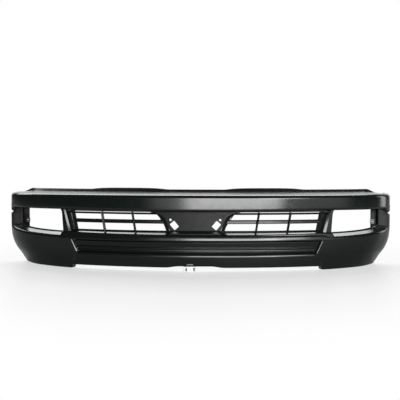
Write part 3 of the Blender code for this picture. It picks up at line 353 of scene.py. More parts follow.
# Floor, background and camera
FLOOR_HALF = 7.0
FLOOR_NEAR = -1.72
FLOOR_FAR = 6.0
FLOOR_GREY = (0.22, 0.223, 0.222, 1.0)
FLOOR_ROUGH = 0.45
FLOOR_SPECULAR = 0.12
FLOOR_GLOW = 0.60
FLOOR_FADE = (0.95, 1.70)
FLOOR_SHINE = 0.18
WHITE = (1.0, 1.0, 1.0, 1.0)
BACK_EDGE = (0.80, 0.93)
FRONT_LEVEL = 0.06
CAMERA_PLACE = (0.145, -DEPTH / 2 - 3.0, 0.4192)
CAMERA_YAW = 0.0413
CAMERA_DROP = 0.0388
CAMERA_ROLL = 0.0026
CAMERA_LENS = 64.935
CAMERA_SENSOR = 36.0

# Lamps: name, place, target, width and height, power
LAMPS = (
    ("front_softbox", (1.185, -4.75, 0.95), (1.185, 0.0, 0.95), (3.47, 2.4), 314.5),
    ("left_fill", (-1.15, -4.75, 0.95), (-1.15, 0.0, 0.95), (1.15, 2.4), 11.0),
    ("right_fill", (3.42, -3.17, 0.95), (0.45, -0.20, 0.95), (2.0, 2.4), 15.0),
    ("right_high_softbox", (2.65, -3.98, 1.62), (0.35, -0.20, 0.25), (1.5, 1.4), 55.0),
    ("back_softbox", (-0.75, 1.65, 2.15), (-0.75, -0.05, 0.2), (4.8, 1.5), 113.0),
    ("right_softbox", (3.0, 1.0, 0.8), (0.83, 0.0, 0.3), (0.8, 1.6), 11.0),
)

# Body, sides, smoothness, and the reach of the hole cutters
BODY = "bumper"
SIDES = ((-1, "left"), (1, "right"))
SHARP_ANGLE = math.radians(38.0)
CORNER_POINTS = 4
CORNER_SHARE = 0.48
TINY = 1e-9
BORE_REACH = 0.02

# Curves and shells


def lerp(a, b, share):
    """Value between a and b."""
    return a + (b - a) * share


def ramp(value, start, end):
    """0 before start, 1 after end, straight between."""
    return np.clip((value - start) / (end - start), 0.0, 1.0)


def smooth(value, start, end):
    """0 before start, 1 after end: 3t^2 - 2t^3 of the ramp."""
    t = ramp(value, start, end)
    return t * t * (3.0 - 2.0 * t)


def plan(station):
    """Plan curve as x, depth and heading: a wide arc, a tighter arc in line with it, then a straight."""
    run = np.abs(station)
    side = np.where(np.asarray(station) < 0.0, -1.0, 1.0)
    wide = np.minimum(run, FRONT_LENGTH) / FRONT_RADIUS
    turn = FRONT_ANGLE + np.clip(run - FRONT_LENGTH, 0.0, CORNER_LENGTH) / CORNER_RADIUS
    straight = np.maximum(run - FRONT_LENGTH - CORNER_LENGTH, 0.0)
    x = FRONT_RADIUS * np.sin(wide) + CORNER_RADIUS * (np.sin(turn) - math.sin(FRONT_ANGLE))
    depth = FRONT_RADIUS * (1.0 - np.cos(wide)) + CORNER_RADIUS * (math.cos(FRONT_ANGLE) - np.cos(turn))
    heading = np.where(run > FRONT_LENGTH, turn, wide)
    x = x + straight * np.cos(heading)
    depth = depth + straight * np.sin(heading)
    return side * x, depth, side * heading


def place(station, inset, z):
    """World points: the plan curve's point moved back by the inset, square to the curve, at height z."""
    x, depth, heading = plan(station)
    y = depth + inset * np.cos(heading) - DEPTH / 2
    return np.stack(np.broadcast_arrays(x - inset * np.sin(heading), y, z), axis=-1)


def at_x(x, inset=0.0):
    """Station where the front arc, carried back by inset, reaches x."""
    return FRONT_RADIUS * np.arcsin(np.asarray(x) / (FRONT_RADIUS - inset))


def at_angle(angle):
    """Station on the right-hand corner with this heading."""
    return FRONT_LENGTH + CORNER_RADIUS * (angle - FRONT_ANGLE)


LAMP_START = float(at_x(LAMP_INNER_X, RECESS_DEPTH))
LAMP_END = at_angle(LAMP_OUTER_ANGLE)
STRIP_END = at_angle(STRIP_END_ANGLE)


def spans(*rows):
    """Numbers of several (start, end, count) spans, one after the other."""
    return np.concatenate([np.linspace(*row) for row in rows])


def both_sides(right):
    """Stations from left to right, from those of the right half."""
    right = np.unique(np.round(right, 6))
    return np.concatenate([-right[:0:-1], right])


def section(pairs, count):
    """Stack (inset, z) pairs, numbers or arrays, into count sections."""
    values = [[np.broadcast_to(np.asarray(v, float), (count,)) for v in pair] for pair in pairs]
    return np.stack([np.stack(pair, axis=-1) for pair in values], axis=1)


def soften(points, radius, count=CORNER_POINTS, closed=False):
    """Round the corners of sections: each becomes a quadratic curve that reaches radius to both sides."""
    before = np.roll(points, 1, axis=1) - points
    after = np.roll(points, -1, axis=1) - points
    in_length = np.linalg.norm(before, axis=-1, keepdims=True)
    out_length = np.linalg.norm(after, axis=-1, keepdims=True)
    start = points + before * np.minimum(radius / np.maximum(in_length, TINY), CORNER_SHARE)
    end = points + after * np.minimum(radius / np.maximum(out_length, TINY), CORNER_SHARE)
    t = np.linspace(0.0, 1.0, count)[:, None]
    curve = (1 - t) ** 2 * start[:, :, None] + 2 * t * (1 - t) * points[:, :, None] + t ** 2 * end[:, :, None]
    flat = curve.reshape(points.shape[0], -1, points.shape[2])
    if closed:
        return flat
    return np.concatenate([points[:, :1], flat[:, count:-count], points[:, -1:]], axis=1)


def loop_of(pairs, radius, count=CORNER_POINTS):
    """A closed loop with rounded corners."""
    return soften(np.array([pairs], float), radius, count, closed=True)[0]


def quads(near, far):
    """Faces between rows of point numbers, each row closed round itself."""
    corners = [near, np.roll(near, -1, axis=1), np.roll(far, -1, axis=1), far]
    return np.stack(corners, axis=-1).reshape(-1, 4).tolist()


def tube(points):
    """Points and faces of a closed tube: rows run along it, columns round it, and both ends are capped."""
    index = np.arange(points.shape[0] * points.shape[1]).reshape(points.shape[:2])
    return points.reshape(-1, 3), quads(index[:-1], index[1:]) + [index[0].tolist(), index[-1].tolist()]


def ring(points):
    """Points and faces of a closed ring: rows and columns both close on themselves."""
    index = np.arange(points.shape[0] * points.shape[1]).reshape(points.shape[:2])
    return points.reshape(-1, 3), quads(index, np.roll(index, -1, axis=0))


def swept(station, loop):
    """A closed shell: loops of (inset, z) carried along the stations."""
    return tube(place(station, loop[..., 0], loop[..., 1]))


def raised(side, x, inset, z, back=INSERT_BACK):
    """A closed shell from grids of x, inset and height, on the front arc carried back."""
    return tube(place(side * at_x(x, back), inset, z))


def crossbar(side, inner_x, outer_x, loop, count, back=INSERT_BACK):
    """A closed bar across: each (inset, z) of its loop runs from inner_x(z) to outer_x(z)."""
    inset, z = loop[:, 0], loop[:, 1]
    x = lerp(inner_x(z), outer_x(z), np.linspace(0.0, 1.0, count)[:, None])
    return raised(side, x, inset[None], z[None], back)


def upright(side, inner_x, outer_x, loop, heights):
    """A closed upright: each (share, inset) of its loop rises between inner_x(z) and outer_x(z)."""
    z = np.asarray(heights)[:, None]
    return raised(side, lerp(inner_x(z), outer_x(z), loop[None, :, 0]), loop[None, :, 1], z)


def plain_panel(side, inner_x, outer_x, heights, front, back, count):
    """A curved plate as a tube: its loop goes up the front and down the back."""
    heights = np.asarray(heights)
    loop = np.concatenate([
        np.stack([np.full_like(heights, front), heights], axis=-1),
        np.stack([np.full_like(heights, back), heights[::-1]], axis=-1),
    ])
    return crossbar(side, inner_x, outer_x, loop, count)


def standing(side, loop, heights):
    """An upright closed shell: each (x, y) of its loop rises through the heights."""
    z = np.asarray(heights)[:, None]
    x, y = side * loop[None, :, 0], loop[None, :, 1]
    return tube(np.stack(np.broadcast_arrays(x, y, z), axis=-1))


def box_shell(low, high):
    """A box between two corners."""
    ys, zs = (low[1], high[1]), (low[2], high[2])
    loop = np.array([(ys[0], zs[0]), (ys[1], zs[0]), (ys[1], zs[1]), (ys[0], zs[1])])
    return tube(np.stack([np.column_stack([np.full(4, x), loop]) for x in (low[0], high[0])]))


def station_frame(station, inset, z):
    """Origin and axes at a place: across, up and straight back into the car."""
    heading = float(plan(station)[2])
    back = np.array([-math.sin(heading), math.cos(heading), 0.0])
    up = np.array([0.0, 0.0, 1.0])
    return place(station, inset, z), np.cross(up, back), up, back


def front_frame(x, inset, z):
    """Origin and axes at x on the front arc, carried back by inset."""
    return station_frame(at_x(x, inset), inset, z)


def turned(spot, profile, sides=32):
    """Points of a turned piece: each (radius, height) goes round the back axis of a spot."""
    origin, across, up, back = spot
    profile = np.asarray(profile, float)
    turn = np.linspace(0.0, 2.0 * math.pi, sides, endpoint=False)
    spin = np.cos(turn)[:, None] * across + np.sin(turn)[:, None] * up
    return origin + profile[:, 0, None, None] * spin[None] + profile[:, 1, None, None] * back


def bore(spot, radius):
    """Cutter of a round hole along the back axis of a spot."""
    return tube(turned(spot, [(radius, -BORE_REACH), (radius, BORE_REACH)]))


# Meshes and pieces


def to_mesh(name, shells):
    """One mesh from several closed shells, with its faces turned outwards."""
    vertices, faces, start = [], [], 0
    for points, polygons in shells:
        vertices.append(points)
        faces += [[i + start for i in polygon] for polygon in polygons]
        start += len(points)
    mesh = bpy.data.meshes.new(name)
    mesh.from_pydata(np.concatenate(vertices).tolist(), [], faces)
    work = bmesh.new()
    work.from_mesh(mesh)
    bmesh.ops.recalc_face_normals(work, faces=work.faces)
    work.to_mesh(mesh)
    work.free()
    return mesh


def to_object(name, data):
    """Link a mesh, lamp or camera as an object at the origin."""
    thing = bpy.data.objects.new(name, data)
    bpy.context.scene.collection.objects.link(thing)
    return thing


def cut(mesh, cutters):
    """Take cutter meshes out of a mesh, one after the other, and return the result."""
    thing = to_object("work", mesh)
    helpers = [to_object("cutter", cutter) for cutter in cutters]
    for helper in helpers:
        change = thing.modifiers.new("cut", "BOOLEAN")
        change.operation = "DIFFERENCE"
        change.solver = "EXACT"
        change.object = helper
    bpy.context.view_layer.update()
    result = bpy.data.meshes.new_from_object(thing.evaluated_get(bpy.context.evaluated_depsgraph_get()))
    for helper in [thing] + helpers:
        bpy.data.objects.remove(helper)
    return result


def join(mesh, other):
    """Add the shells of another mesh to a mesh."""
    work = bmesh.new()
    work.from_mesh(mesh)
    work.from_mesh(other)
    work.to_mesh(mesh)
    work.free()
    return mesh


def show(name, mesh, material, node, body=BODY):
    """A finished piece: smooth with sharp creases, one material, riding on its body in place of its node."""
    mesh.materials.clear()
    mesh.materials.append(material)
    mesh.shade_smooth()
    mesh.set_sharp_from_angle(angle=SHARP_ANGLE)
    piece = to_object(name, mesh)
    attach(piece, body)
    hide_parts(node)


# Sections of the cover


def tuck(z, share=1.0):
    """Inset of the lower body: a power curve down to a knee, then a straight foot."""
    z = np.asarray(z, float)
    curve = np.maximum((TUCK_TOP_Z - np.maximum(z, TUCK_KNEE_Z)) / (TUCK_TOP_Z - TUCK_KNEE_Z), 0.0)
    return share * (TUCK * curve ** TUCK_POWER + FOOT_SLOPE * np.maximum(TUCK_KNEE_Z - z, 0.0))


def top_rear(station):
    """Depth and height of the rear edge of the top surface, which is narrow on the wings."""
    share = smooth(np.abs(station), at_angle(TOP_TAPER_ANGLE), at_angle(TOP_NARROW_ANGLE))
    return lerp(TOP_DEPTH, WING_TOP_DEPTH, share), lerp(TOP_REAR_Z, WING_TOP_Z, share)


def rear_frame(station, drop):
    """Origin and axes on the rear flange, below its upper edge."""
    rear, rear_z = top_rear(station)
    return station_frame(station, rear, rear_z - drop)


def front_share(station):
    """The square of the distance from the middle, 1 from the skirts outwards."""
    return np.minimum(np.abs(station) / at_x(SKIRT_X), 1.0) ** 2


def lamp_blend(station):
    """0 on the middle of the cover, 1 from a little way past the inner edge of the lamp openings."""
    return smooth(np.abs(station), LAMP_START, LAMP_START + LAMP_CHAMFER)


def band_bottom_z(station):
    """Lower edge of the band."""
    return BAND_BOTTOM_Z + BAND_RISE * front_share(station)


def lamp_lines(station):
    """Heights of the recess wall's foot and the ledge's front under a lamp opening: both rise by a square."""
    rise = LAMP_RISE * ramp(np.abs(station), at_x(LAMP_INNER_X), LAMP_END) ** 2
    return LAMP_FLOOR_Z + rise, LAMP_LEDGE_FRONT_Z + rise


def lip_bottom_z(station):
    """Lower edge of the lip, with a shallow notch in the middle."""
    x = np.abs(plan(station)[0])
    return LIP_BOTTOM_Z + LIP_NOTCH * (1.0 - smooth(x, LIP_NOTCH_X, LIP_NOTCH_END_X))


def upper_pairs(station, bottom_z):
    """Rear flange, top surface and band, down to the lower edge of the band."""
    rear, rear_z = top_rear(station)
    crown = [(inset, TOP_FRONT_Z - drop) for inset, drop in BAND_CROWN]
    foot = [(inset, bottom_z + rise) for inset, rise in BAND_FOOT]
    return [(rear, rear_z - REAR_FLANGE), (rear, rear_z)] + crown + foot


def recess_pairs(band_z, floor_z, ledge_z, ledge_front):
    """The long recess under the band, down to the front edge of its ledge."""
    top = [(RECESS_DEPTH - 0.003, band_z + 0.002), (RECESS_DEPTH, band_z - 0.001)]
    wall = [(RECESS_DEPTH, z) for z in GROOVE_HEIGHTS] + [(RECESS_DEPTH, floor_z)]
    ledge = [(RECESS_DEPTH - WALL_FOOT, floor_z - WALL_FOOT), (ledge_front + 0.0025, ledge_z)]
    return top + wall + ledge + [(ledge_front, ledge_z - LEDGE_ROUND)]


def rib_end_x(z):
    """X where the ribbed recess starts to end: its ends lean outwards as they rise."""
    return lerp(RIB_END_FOOT_X, RIB_END_TOP_X, ramp(z, LIP_TOP_Z, SHOULDER_BOTTOM_Z))


def skirt_pairs(share):
    """The lower body that curves under, down to the floor, at the heights of the shoulder rows."""
    heights = SKIRT_TOP_HEIGHTS + [row[1] for row in SHOULDER_ROWS[SHOULDER_BEAD_ROWS:]] + [TUCK_KNEE_Z]
    foot = tuck(0.0, share)
    return [(tuck(z, share), z) for z in heights] + [(foot + 0.001, 0.0), (foot + SKIRT_RETURN, 0.0)]


def centre_pairs(station):
    """The middle of the cover: shoulder bead, ribbed recess and lip."""
    band_z = band_bottom_z(station)
    ledge_z = LEDGE_FRONT_Z + LEDGE_RISE * front_share(station)
    lip_z = lip_bottom_z(station)
    recess = recess_pairs(band_z, RECESS_FLOOR_Z, ledge_z, CENTRE_LEDGE_FRONT)
    lip = [(0.0095, lip_z + 0.0040), (0.0125, lip_z), (LIP_RETURN, lip_z + 0.0005)]
    return upper_pairs(station, band_z) + recess + SHOULDER_ROWS + lip


def lamp_pairs(station, share):
    """The section through a lamp opening."""
    band_z = band_bottom_z(station)
    floor_z, ledge_z = lamp_lines(station)
    face = [(inset + tuck(ledge_z - drop, share), ledge_z - drop) for inset, drop in LAMP_FACE]
    recess = recess_pairs(band_z, floor_z, ledge_z, LAMP_LEDGE_FRONT)
    return upper_pairs(station, band_z) + recess + face + skirt_pairs(share)


def wing_pairs(station):
    """The section of a wing: a groove under the band, then the plain side at the lamp section's heights."""
    groove = [(GROOVE_DEPTH - 0.0005, GROOVE_Z + 0.0003), (GROOVE_DEPTH, GROOVE_Z - 0.0015)]
    groove += zip((GROOVE_DEPTH - 0.0020, 0.0012, 0.0), GROOVE_HEIGHTS)
    floor_z, ledge_z = lamp_lines(station)
    heights = [floor_z, floor_z - WALL_FOOT, ledge_z, ledge_z - LEDGE_ROUND]
    heights += [ledge_z - row[1] for row in LAMP_FACE]
    side = [(tuck(z), z) for z in heights]
    return upper_pairs(station, GROOVE_Z) + groove + side + skirt_pairs(1.0)


def cover_sections(station):
    """Sections of the cover: the middle runs over into the lamp section, and that into the wing section."""
    run = np.abs(station)
    count = len(station)
    tuck_share = lerp(SKIRT_TUCK_SHARE, 1.0, smooth(run, at_x(SKIRT_X), LAMP_END))
    bead = smooth(run, at_x(RIB_END_TOP_X), LAMP_START + LAMP_CHAMFER)
    ribbed = smooth(run, at_x(RIB_END_TOP_X), at_x(RIB_END_TOP_X + RIB_END_LENGTH))
    step = smooth(run, at_x(SKIRT_X), at_x(SKIRT_X + STEP_LENGTH))
    rows = [UPPER_ROWS, SHOULDER_BEAD_ROWS, len(SHOULDER_ROWS) - SHOULDER_BEAD_ROWS, LIP_ROWS]
    to_lamp = np.repeat(np.stack([lamp_blend(station), bead, ribbed, step], axis=1), rows, axis=1)
    to_wing = smooth(run, at_angle(POCKET_END_ANGLE), at_angle(FLUSH_ANGLE))
    centre = section(centre_pairs(station), count)
    lamp = section(lamp_pairs(station, tuck_share), count)
    wing = section(wing_pairs(station), count)
    return lerp(lerp(centre, lamp, to_lamp[:, :, None]), wing, to_wing[:, None, None])


def lean_stations(station, z):
    """Stations of the cover's grid, moved inwards near the ends of the ribbed recess, most at its foot."""
    run = np.abs(station)
    near = smooth(run, *at_x(LEAN_START_X)) * (1.0 - smooth(run, *at_x(LEAN_END_X)))
    lean = RIB_END_TOP_X - RIB_END_FOOT_X
    heights = [LEAN_FOOT_Z, SHOULDER_ROWS[-1][1], LIP_TOP_Z, SHOULDER_BOTTOM_Z]
    foot = np.interp(z, heights, [0.0, lean, lean, 0.0])
    return station[:, None] - np.sign(station)[:, None] * near[:, None] * foot


def inside_of(points, wall):
    """Sections moved inwards by the wall, along the mean of the normals at each corner."""
    edge = np.diff(points, axis=1)
    normal = np.stack([-edge[..., 1], edge[..., 0]], axis=-1)
    normal /= np.linalg.norm(normal, axis=-1, keepdims=True)
    first = np.concatenate([normal[:, :1], normal], axis=1)
    second = np.concatenate([normal, normal[:, -1:]], axis=1)
    mean = first + second
    return points + mean * (2.0 * wall / np.sum(mean ** 2, axis=-1, keepdims=True))


def cover_stations():
    """Stations of the cover: closer together where the section changes."""
    chamfer_end = LAMP_START + LAMP_CHAMFER
    pocket, flush, corner = at_angle(POCKET_END_ANGLE), at_angle(FLUSH_ANGLE), FRONT_LENGTH + CORNER_LENGTH
    return both_sides(spans(
        (0.0, at_x(0.500), 44),
        (at_x(0.502), LAMP_START - 0.002, 42),
        (LAMP_START, chamfer_end, 9),
        (chamfer_end + 0.004, FRONT_LENGTH, 14),
        (FRONT_LENGTH, pocket, 30),
        (pocket, flush, 14),
        (flush, corner, 12),
        (corner, HALF_LENGTH, 8),
    ))


# Lines of x by height


def leaning(x, lean):
    """X of a line that leans outwards as it rises, as a function of height."""
    middle = (ROW_BOTTOM_Z + ROW_TOP_Z) / 2
    return lambda z: x + lean * (z - middle) / (ROW_TOP_Z - ROW_BOTTOM_Z)


def moved(line, step):
    """The same line, moved outwards by a step."""
    return lambda z: line(z) + step


def mirrored(line):
    """The same line on the left."""
    return lambda z: -line(z)


def grille_inner_x(z):
    """X of the grille opening's inner end: a slope plus a high power that turns it outwards at the top."""
    share = (z - INSERT_BOTTOM_Z) / (INSERT_TOP_Z - INSERT_BOTTOM_Z)
    bend = GRILLE_INNER_CURVE * np.maximum(share, 0.0) ** GRILLE_INNER_POWER
    return GRILLE_INNER_X + GRILLE_INNER_SLOPE * share + bend


frame_inner_x = moved(grille_inner_x, -FRAME_INNER)
grille_outer_x = leaning(GRILLE_OUTER_X, GRILLE_OUTER_LEAN)
frame_outer_x = leaning(GRILLE_OUTER_X + FRAME_OUTER, FRAME_OUTER_LEAN)

# The cover


def lamp_cutter(side):
    """Cutter of a lamp opening: a quarter circle at its top inner corner, a sill along the recess floor."""
    corner_end = LAMP_START + LAMP_CORNER
    station = np.concatenate([
        LAMP_START + LAMP_CORNER * (1.0 - np.cos(np.linspace(0.0, math.pi / 2, 10))),
        np.linspace(corner_end + 0.006, at_angle(LAMP_CUT_ANGLE), 40),
    ])
    share = 1.0 - ramp(station, LAMP_START, corner_end)
    corner = LAMP_CORNER * (1.0 - np.sqrt(1.0 - share ** 2)) * 0.98
    low = lerp(RECESS_FLOOR_Z, lamp_lines(station)[0], lamp_blend(station)) + LAMP_SILL
    high = band_bottom_z(station) - 0.003 - corner
    front, back = RECESS_DEPTH - CUT_FRONT - 0.0001, RECESS_DEPTH + CUT_BACK
    loop = section([(front, low), (back, low), (back, high), (front, high)], len(station))
    return swept(side * station[:, None], loop)


def window_cutters(side):
    """Cutters of the windows behind a grille and behind a plate hole."""
    front, back = RECESS_DEPTH - CUT_FRONT, RECESS_DEPTH + CUT_BACK
    heights = spans((ROW_BOTTOM_Z, GRILLE_BEND_Z, 6), (GRILLE_BEND_Z + 0.005, SLIT_TOP_Z, 10))
    inner, outer = moved(grille_inner_x, -WINDOW_MARGIN), moved(grille_outer_x, WINDOW_MARGIN)
    grille = plain_panel(side, inner, outer, heights, front, back, 24)
    inner, outer = leaning(PLATE_HOLE_X - PLATE_WINDOW, 0.0), leaning(PLATE_HOLE_X + PLATE_WINDOW, 0.0)
    heights = [PLATE_HOLE_Z - PLATE_WINDOW, PLATE_DOT_Z + PLATE_DOT_R + WINDOW_MARGIN]
    return [grille, plain_panel(side, inner, outer, heights, front, back, 4)]


def arch_cutter():
    """Cutter of both wheel arches: a cylinder across the car."""
    turn = np.linspace(0.0, 2.0 * math.pi, 160, endpoint=False)
    y = DEPTH / 2 + ARCH_BEHIND + ARCH_RADIUS * np.cos(turn)
    z = ARCH_Z + ARCH_RADIUS * np.sin(turn)
    ends = (-CUT_HALF_WIDTH, CUT_HALF_WIDTH)
    return tube(np.stack([np.column_stack([np.full_like(y, x), y, z]) for x in ends]))


def trim_cutters():
    """Boxes that trim both wings square at the rear."""
    rear = DEPTH / 2
    ends = ((-CUT_HALF_WIDTH, -TRIM_FROM_X), (TRIM_FROM_X, CUT_HALF_WIDTH))
    return [box_shell((low, rear, -0.1), (high, rear + 0.2, 0.5)) for low, high in ends]


def pillar(side):
    """The post beside a lamp opening: it leans with the grille frame, and widens at its top by a power."""
    top = BAND_BOTTOM_Z + BAND_RISE + PILLAR_SINK
    wall = RECESS_DEPTH + PILLAR_SINK

    def edge(z):
        share = ramp(z, RECESS_FLOOR_Z, top)
        return LAMP_INNER_X + PILLAR_LEAN * share + PILLAR_CORNER * share ** PILLAR_CORNER_POWER

    loop = loop_of([(0.0, wall), (0.0, PILLAR_FRONT + PILLAR_SLOPE), (PILLAR_SLOPE_SHARE, PILLAR_FRONT),
                    (1.0, PILLAR_FRONT), (1.0, wall)], 0.0015)
    rise = spans((0.0, 0.70, 8), (0.73, 1.0, 12))[:, None]
    ledge = np.interp(loop[:, 1], [0.010, RECESS_DEPTH - WALL_FOOT, RECESS_DEPTH],
                      [LEDGE_FRONT_Z, RECESS_FLOOR_Z - WALL_FOOT, RECESS_FLOOR_Z])
    z = lerp(ledge[None] - PILLAR_SINK, top, rise)
    x = lerp(frame_outer_x(z) + PILLAR_GAP, edge(z), loop[None, :, 0])
    return raised(side, x, loop[None, :, 1], z)


def lip_pad():
    """The low pad on the lip over the clip: a small section that leans out at its foot, carried across."""
    loop = loop_of([(0.0110, 0.0350), (0.0066, 0.0345), (0.0050, 0.0285), (0.0075, 0.0275),
                    (0.0120, 0.0275)], 0.0006)
    ends = [leaning(SLOT_MIDDLE_X + half, 0.0) for half in (-PAD_HALF_WIDTH, PAD_HALF_WIDTH)]
    return crossbar(1, *ends, loop, 7, 0.0)


def make_cover(material):
    """The main skin: rounded sections outside, plain ones inside, its openings cut and its posts added."""
    station = cover_stations()
    raw = cover_sections(station)
    loop = np.concatenate([soften(raw, COVER_ROUND), inside_of(raw, WALL)[:, ::-1]], axis=1)
    skin = to_mesh("cover_skin", [swept(lean_stations(station, loop[..., 1]), loop)])
    openings = [shell for side in (-1, 1) for shell in window_cutters(side) + [lamp_cutter(side)]]
    cutters = [to_mesh("cutter", shells) for shells in (openings, trim_cutters(), [arch_cutter()])]
    posts = to_mesh("posts", [pillar(side) for side in (-1, 1)] + [lip_pad()])
    show("cover", join(cut(skin, cutters), posts), material, "bumper_cover")


# The upper strip and its retainers


def strip_top_z(station):
    """Top edge of the strip: level plus a flat-topped hump (1 - t^4) on each side, and tapered ends."""
    x = np.abs(plan(station)[0])
    wave = np.maximum(1.0 - ((x - STRIP_HUMP_X) / STRIP_HUMP_HALF) ** 4, 0.0)
    taper = 1.0 - smooth(np.abs(station), STRIP_END - STRIP_TAPER, STRIP_END)
    return lerp(top_rear(station)[1] + STRIP_END_RISE, STRIP_TOP_Z + STRIP_HUMP * wave, taper)


def make_strip(material):
    """The upper retainer strip: a rounded section along the rear flange that leans back above it."""
    station = both_sides(spans((0.0, FRONT_LENGTH, 60), (FRONT_LENGTH, STRIP_END, 40)))
    rear, rear_z = top_rear(station)
    front, foot, knee, top = rear + FIT, rear_z - STRIP_FOOT, rear_z + STRIP_KNEE, strip_top_z(station)
    face = [(front, foot), (front, knee), (front + STRIP_LEAN * (top - knee), top)]
    back = [(inset + STRIP_WALL, z) for inset, z in reversed(face)]
    loop = soften(section(face + back, len(station)), 0.0012, closed=True)
    mesh = to_mesh("strip", [swept(station[:, None], loop)])
    show("top_strip", mesh, material, "upper_retainer_strip")


def make_retainers(grommet_material, pin_material):
    """Push-type retainers: a turned grommet with a bulged leg and a rim, and a domed pin that slides in."""
    head, leg = STRIP_WALL + 2 * FIT, -WALL - FIT
    rim, foot = head + GROMMET_HEAD, leg - GROMMET_LEG
    bore_r, seat = PIN_R + FIT, rim + FIT
    grommet = [
        (bore_r, foot), (GROMMET_R - 0.0006, foot), (GROMMET_R + GROMMET_BULGE, leg - GROMMET_LEG * 0.4),
        (GROMMET_R, leg), (GROMMET_R, head), (GROMMET_HEAD_R - 0.0004, head), (GROMMET_HEAD_R, head + 0.0006),
        (GROMMET_HEAD_R - 0.0010, rim), (bore_r, rim)]
    pin = [
        (PIN_R - 0.0006, foot), (PIN_R, foot + 0.0006), (PIN_R, seat), (PIN_HEAD_R - 0.0003, seat),
        (PIN_HEAD_R, seat + PIN_HEAD * 0.35), (PIN_HEAD_R - 0.0008, seat + PIN_HEAD * 0.75),
        (PIN_HEAD_R * 0.6, seat + PIN_HEAD), (PIN_HEAD_R * 0.2, seat + PIN_HEAD)]
    for side, word in SIDES:
        for x, which in zip(RETAINER_X, ("inner", "middle", "outer")):
            spot = rear_frame(float(at_x(side * x, TOP_DEPTH)), RETAINER_DROP)
            name = f"{word}_{which}_retainer"
            mesh = to_mesh(name, [ring(turned(spot, grommet, 40))])
            show(f"{name}_ring", mesh, grommet_material, f"{name}_grommet")
            mesh = to_mesh(name, [tube(turned(spot, pin, 40))])
            show(f"{name}_plug", mesh, pin_material, f"{name}_pin", f"{name}_pin")


# Pegs and push nuts of the inserts


def peg_shells(places, back):
    """Moulded pegs: turned rods with a rounded tip, from inside the panel to behind the skin."""
    profile = [(PEG_R, -0.002), (PEG_R, PEG_LENGTH - 0.001), (PEG_R - 0.0008, PEG_LENGTH)]
    return [tube(turned(front_frame(x, back, z), profile, 20)) for x, z in places]


def make_push_nuts(name, places, back, material):
    """Stamped push nuts: a flat rim that domes up to its bore, one piece on each peg."""
    start, bore_r = WALL + 2 * FIT, PEG_R + FIT
    top = start + NUT_WALL
    loop = [(NUT_R, start), (NUT_R, start + 0.0005), (NUT_R - 0.0016, start + 0.0006), (bore_r + 0.0006, top),
            (bore_r, top), (bore_r, top - 0.0005), (NUT_R - 0.0018, start)]
    for number, (x, z) in enumerate(places, 1):
        node = f"{name}_push_nut_{number}"
        mesh = to_mesh(node, [ring(turned(front_frame(x, back, z), loop))])
        show(f"{node}_cap", mesh, material, node)


# Grille inserts, plate panel and ribbed strip


def grille_bars(side):
    """The top rail, foot rail and middle bar of a grille insert: rounded sections carried across."""
    front, back = INSERT_FRONT, INSERT_BACK
    low, high, nose = BAR_Z - BAR_HEIGHT / 2, BAR_Z + BAR_HEIGHT / 2, front - BAR_FRONT
    top = loop_of([(front + 0.002, ROW_TOP_Z), (front - 0.001, RAIL_TOP_Z - 0.0030),
                   (front + 0.0015, RAIL_TOP_Z), (back, RAIL_TOP_Z), (back, ROW_TOP_Z)], 0.0010)
    foot = loop_of([(front + 0.002, INSERT_BOTTOM_Z), (front, ROW_BOTTOM_Z + 0.0005),
                    (back, ROW_BOTTOM_Z + 0.0005), (back, ROW_BOTTOM_Z - 0.0005)], 0.0010)
    bar = loop_of([(nose + 0.0010, low), (nose - 0.0008, low + 0.0018), (nose, BAR_Z), (nose, high - 0.0040),
                   (nose + 0.0045, high), (back - 0.001, high), (back - 0.001, low)], 0.0014)
    inner, outer = moved(grille_inner_x, -BAR_LAP), moved(grille_outer_x, BAR_LAP)
    return [
        crossbar(side, grille_inner_x, frame_outer_x, top, BAR_STEPS),
        crossbar(side, frame_inner_x, frame_outer_x, foot, BAR_STEPS),
        crossbar(side, inner, outer, bar, BAR_STEPS),
    ]


def grille_ends(side):
    """The outer and inner ends of a grille insert: uprights with a bead along the opening."""
    front, back, start = INSERT_FRONT, INSERT_BACK, INSERT_BOTTOM_Z + FRAME_FOOT
    outer = loop_of([(0.0, back), (0.0, front - 0.003), (0.40, front - 0.001), (0.48, front + 0.003),
                     (0.56, front), (1.0, front + 0.003), (1.0, back)], 0.0008)
    inner = loop_of([(0.0, back), (0.0, front - 0.002), (0.40, front - 0.0005), (0.50, front + 0.003),
                     (0.60, front), (1.0, front + 0.003), (1.0, back)], 0.0008)
    bend = spans((start, GRILLE_BEND_Z, 14), (GRILLE_BEND_Z + 0.002, RAIL_TOP_Z, 22))
    return [
        upright(side, grille_outer_x, frame_outer_x, outer, np.linspace(start, RAIL_TOP_Z, 24)),
        upright(side, frame_inner_x, grille_inner_x, inner, bend),
    ]


def grille_rib(side, x):
    """One rib: an upright fin with a narrow nose that leans outwards, and a foot that follows the ledge."""
    front, back = INSERT_FRONT - RIB_FRONT, INSERT_BACK - 0.002
    half = RIB_WIDTH / 2
    loop = loop_of([(-RIB_TAIL, back), (-half, front + RIB_NOSE), (0.0, front), (half, front + RIB_NOSE),
                    (RIB_TAIL, back)], 0.0005)
    ledge = LEDGE_FRONT_Z + LEDGE_RISE * front_share(at_x(x)) + 0.0015
    foot = ledge + (loop[:, 1] - CENTRE_LEDGE_FRONT) * RIB_FOOT_SLOPE
    z = lerp(foot[None], SLIT_TOP_Z, np.linspace(0.0, 1.0, 16)[:, None])
    return raised(side, leaning(x, RIB_LEAN)(z) + loop[None, :, 0], loop[None, :, 1], z, back)


